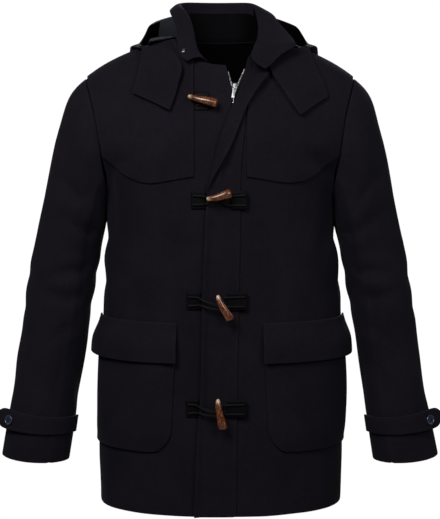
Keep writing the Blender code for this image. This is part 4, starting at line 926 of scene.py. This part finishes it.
def addZipTeeth():
    tooth = bmesh.new()
    bmesh.ops.create_cube(tooth, size=1.0, matrix=Matrix.Diagonal((*zipTeeth["size"], 1.0)))
    bmesh.ops.bevel(tooth, geom=tooth.edges[:], offset=zipTeeth["bevel"], segments=1, profile=0.5,
                    affect="EDGES", material=-1)
    tooth = patternMesh("toothPattern", tooth)
    for sideName, sign in (("left", 1), ("right", -1)):
        skin = treeOf(dressed["zip_tape_" + sideName])
        bm = bmesh.new()

        def addTooth(x, z, tape, over, across):
            # the tooth sits on the tape's front, a little over its edge
            hit = skin.ray_cast(Vector((x + sign * tape, zipTeeth["rayFrom"], z)), towardsBack)[0]
            if hit is not None:
                stamp(bm, tooth, frameAt(Vector((x + sign * over, hit.y, z)), across, towardsFront))

        for z in np.arange(zipTeeth["slider"], zipTeeth["top"], zipTeeth["pitch"]):
            x = float(np.interp(z, zipTeeth["openHeights"], zipTeeth[sideName]))
            ahead = float(np.interp(z + zipTeeth["ahead"], zipTeeth["openHeights"], zipTeeth[sideName]))
            up = Vector((ahead - x, 0.0, zipTeeth["ahead"])).normalized()
            addTooth(x, z, zipTeeth["openTape"], -zipTeeth["openOver"], Vector((up.z, 0.0, -up.x)))
        closed = np.arange(zipTeeth["slider"] - zipTeeth["below"], zipTeeth["foot"], -zipTeeth["pitch"])
        for z in closed[0 if sign > 0 else 1::2]:
            x = float(np.interp(z, zipTeeth["closedHeights"], zipTeeth["closedLine"]))
            addTooth(x, z, zipTeeth["closedTape"], zipTeeth["closedOver"], Vector((1, 0, 0)))
        row = objectFrom("zip_teeth_" + sideName, bm, metal)
        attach(row, "coat")
        print("zip teeth", sideName, len(row.data.polygons))


addZipTeeth()

# cuff buttons: four holes, a raised rim, sewn with a cross of thread; the profile is in millimetres
cuffButton = {
    "profile": ((0.0, 0.0), (8.0, 0.0), (8.7, 0.7), (8.8, 1.5), (8.5, 2.5), (7.9, 3.0), (7.2, 2.9),
                (6.5, 2.2), (3.0, 2.0), (0.0, 2.0)),
    "steps": 32, "sharp": 40, "holeSteps": 14, "holeAway": 0.0017, "holeRadius": 0.0009, "holeDepth": 0.01,
    "holeHeight": 0.001, "threadSteps": 8, "thread": 0.0004, "threadHeight": 0.0022, "threadBeside": 0.00035,
    "threadLong": 2.9,
}


def discFrame(nodeName, sign):
    # the solid button's underside, facing out
    spots = np.array([v.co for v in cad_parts[nodeName].data.vertices])
    heart = spots.mean(0)
    out = np.linalg.svd(spots - heart, full_matrices=False)[2][2]
    out = out * np.sign(out[0] * sign)
    low = ((spots - heart) @ out).min()
    return frameAt(Vector(heart + out * low), Vector((0, 0, 1)), Vector(out))


def addRod(bm, kind, radius, depth, place):
    bmesh.ops.create_cone(bm, cap_ends=True, segments=cuffButton[kind + "Steps"], radius1=radius,
                          radius2=radius, depth=depth, matrix=place)


def addCuffButton(sideName, sign):
    place = discFrame("cuff_button_" + sideName, sign)
    bm = bmesh.new()
    line = [bm.verts.new((r / 1000.0, 0.0, h / 1000.0)) for r, h in cuffButton["profile"]]
    for a, b in zip(line[:-1], line[1:]):
        bm.edges.new((a, b))
    bmesh.ops.spin(bm, geom=bm.verts[:] + bm.edges[:], cent=(0, 0, 0), axis=(0, 0, 1), angle=math.tau,
                   steps=cuffButton["steps"], use_merge=True)
    bmesh.ops.remove_doubles(bm, verts=bm.verts, dist=0.00001)
    bmesh.ops.recalc_face_normals(bm, faces=bm.faces)
    button = objectFrom("cuffButton_" + sideName, bm, buttonSkin)
    drill = bmesh.new()
    away = cuffButton["holeAway"]
    for k in range(4):
        spot = Vector((away * (1 if k % 2 else -1), away * (1 if k // 2 else -1), cuffButton["holeHeight"]))
        addRod(drill, "hole", cuffButton["holeRadius"], cuffButton["holeDepth"], Matrix.Translation(spot))
    driller = objectFrom("buttonDrill", drill, buttonSkin)
    cut = button.modifiers.new("holes", "BOOLEAN")
    cut.operation = "DIFFERENCE"
    cut.solver = "EXACT"
    cut.object = driller
    drilled = applied(button)
    bpy.data.objects.remove(driller)
    drilled.transform(place)
    smooth(drilled)
    drilled.set_sharp_from_angle(angle=math.radians(cuffButton["sharp"]))
    settle(button, ["cuff_button_" + sideName])
    cross = bmesh.new()
    upwards = Matrix.Translation((0, 0, cuffButton["threadHeight"]))
    for turn in (45.0, 135.0):
        for beside in (-cuffButton["threadBeside"], cuffButton["threadBeside"]):
            aside = upwards @ Matrix.Rotation(math.radians(turn), 4, "Z") @ Matrix.Translation((0, beside, 0))
            lay = aside @ Matrix.Rotation(math.radians(90.0), 4, "Y")
            addRod(cross, "thread", cuffButton["thread"], away * cuffButton["threadLong"], place @ lay)
    sewing = objectFrom("buttonThread_" + sideName, cross, thread)
    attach(sewing, "coat")


addCuffButton("left", 1)
addCuffButton("right", -1)
print("buttons ready")


def isoRuns(nodeName, choose, inset):
    # lines on the outer skin that lie one inset away from the chosen edges
    piece = dressed[nodeName]
    mesh = piece.data
    finder = treeOfSpots([m for m in rims[nodeName] if choose is None or choose(m)])
    spots = spotsOf(piece)
    away = np.array([finder.find(spot)[2] for spot in spots]) - inset
    mesh.calc_loop_triangles()
    flags = np.array([item.value for item in mesh.attributes["outerSkin"].data])
    links, ends = {}, {}
    for tri in mesh.loop_triangles:
        if not flags[tri.polygon_index]:
            continue
        crossed = []
        for a, b in ((0, 1), (1, 2), (2, 0)):
            u, v = sorted((tri.vertices[a], tri.vertices[b]))
            if (away[u] < 0) != (away[v] < 0):
                t = away[u] / (away[u] - away[v])
                ends[(u, v)] = (spots[u] * (1 - t) + spots[v] * t, tri.normal.copy())
                crossed.append((u, v))
        if len(crossed) == 2:
            links.setdefault(crossed[0], []).append(crossed[1])
            links.setdefault(crossed[1], []).append(crossed[0])
    runs, used = [], set()
    for first in sorted(links, key=lambda key: len(links[key])):
        if first in used:
            continue
        run = [first]
        used.add(first)
        while True:
            nextOnes = [key for key in links[run[-1]] if key not in used]
            if not nextOnes:
                break
            used.add(nextOnes[0])
            run.append(nextOnes[0])
        if len(run) > 4:
            runs.append([ends[key] for key in run])
    return runs


# topstitching: short thread stitches; the size is half of a stitch's length, width and height
stitch = {"pitch": 0.0034, "size": (0.0012, 0.0003, 0.00022)}
grain = bmesh.new()
bmesh.ops.create_icosphere(grain, subdivisions=1, radius=1.0, matrix=Matrix.Diagonal((*stitch["size"], 1.0)))
grain = patternMesh("stitchPattern", grain)


def stitchRuns(bm, nodeName, choose, inset, keep):
    count = 0
    for run in isoRuns(nodeName, choose, inset):
        gone, nextAt = 0.0, 0.0
        for (a, outA), (b, _) in zip(run[:-1], run[1:]):
            step = float(np.linalg.norm(b - a))
            while step > 1e-9 and nextAt <= gone + step:
                t = (nextAt - gone) / step
                spot = Vector(a * (1 - t) + b * t)
                nextAt += stitch["pitch"]
                if keep is None or keep(spot):
                    stamp(bm, grain, frameAt(spot, Vector(b - a), outA))
                    count += 1
            gone += step
    return count


def below(height):
    return lambda spot: spot[2] < height


def yokeEdge(height, middle):
    return lambda spot: spot[2] < height or abs(spot[0]) < middle


def cuffEdge(spot):
    # the cuff's opening lies a little higher towards its outer side
    return spot[2] < -0.7305 + (abs(spot[0]) - 0.2725) * 0.08


def aboveCollarFoot(spot):
    return spot[2] > -0.04


# the edges that a row follows, its inset, and where it is kept; None stands for everywhere
stitchRows = {
    "yoke_front_*": (yokeEdge(-0.165, 0.052), 0.006, yokeEdge(-0.125, 0.06)),
    "yoke_back": (below(-0.1), 0.006, below(-0.105)),
    "pocket_*": (None, 0.007, below(-0.545)),
    "pocket_flap_*": (None, 0.007, None),
    "placket": (None, 0.006, below(-0.06)),
    "collar": (None, 0.006, aboveCollarFoot),
    "throat_flap_*": (None, 0.006, below(-0.018)),
    "cuff_strap_*": (None, 0.005, None),
    "back": (below(-0.8085), 0.03, None),
    "front_*": (below(-0.8085), 0.03, None),
    "sleeve_top_*": (cuffEdge, 0.028, None),
    "sleeve_under_*": (cuffEdge, 0.028, None),
}
for name, _, nodeName in eachSide(stitchRows):
    bm = bmesh.new()
    count = stitchRuns(bm, nodeName, *stitchRows[name])
    sewn = objectFrom("stitches_" + nodeName, bm, thread)
    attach(sewn, "coat")
    print("stitches", nodeName, count)

# a worked buttonhole near the corner of the wearer's left throat flap
buttonhole = {
    "from": (0.157, -0.093), "to": (0.17, -0.0875), "half": 0.0016, "outer": 1.4, "steps": 28, "sides": 6,
    "thick": 0.00055, "odd": 1.15, "even": 0.9, "rayFrom": -0.5,
}


def addButtonhole():
    flap = BVHTree.FromObject(dressed["throat_flap_left"], bpy.context.evaluated_depsgraph_get())
    first, last = Vector(buttonhole["from"]), Vector(buttonhole["to"])
    run = (last - first).normalized()
    side = Vector((-run.y, run.x))
    centre, reach = (first + last) / 2, (last - first).length / 2
    sides = buttonhole["sides"]
    bm = bmesh.new()
    rings = []
    for k in range(buttonhole["steps"]):
        turn = 2 * math.pi * k / buttonhole["steps"]
        offset = run * reach * math.cos(turn) + side * buttonhole["half"] * math.sin(turn)
        spot, outward = centre + offset, centre + offset * buttonhole["outer"]
        place, facing, _, _ = flap.ray_cast(Vector((spot.x, buttonhole["rayFrom"], spot.y)), towardsBack)
        away = Vector((outward.x - spot.x, 0.0, outward.y - spot.y)).normalized()
        thick = buttonhole["thick"] * buttonhole["odd" if k % 2 else "even"]
        rings.append([bm.verts.new(place + (away * math.cos(a) + facing * math.sin(a)) * thick)
                      for a in (2 * math.pi * n / sides for n in range(sides))])
    for ring, following in zip(rings, rings[1:] + rings[:1]):
        for n in range(sides):
            m = (n + 1) % sides
            bm.faces.new((ring[n], ring[m], following[m], following[n]))
    bmesh.ops.recalc_face_normals(bm, faces=bm.faces)
    worked = objectFrom("buttonhole_left", bm, thread)
    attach(worked, "coat")
    print("buttonhole", len(worked.data.polygons))


addButtonhole()

bm = bmesh.new()
bmesh.ops.create_grid(bm, x_segments=2, y_segments=2, size=studio["floorSize"],
                      matrix=Matrix.Translation((0, 0, studio["floorHeight"])))
floorPiece = objectFrom("paleFloor", bm, paleFloor)
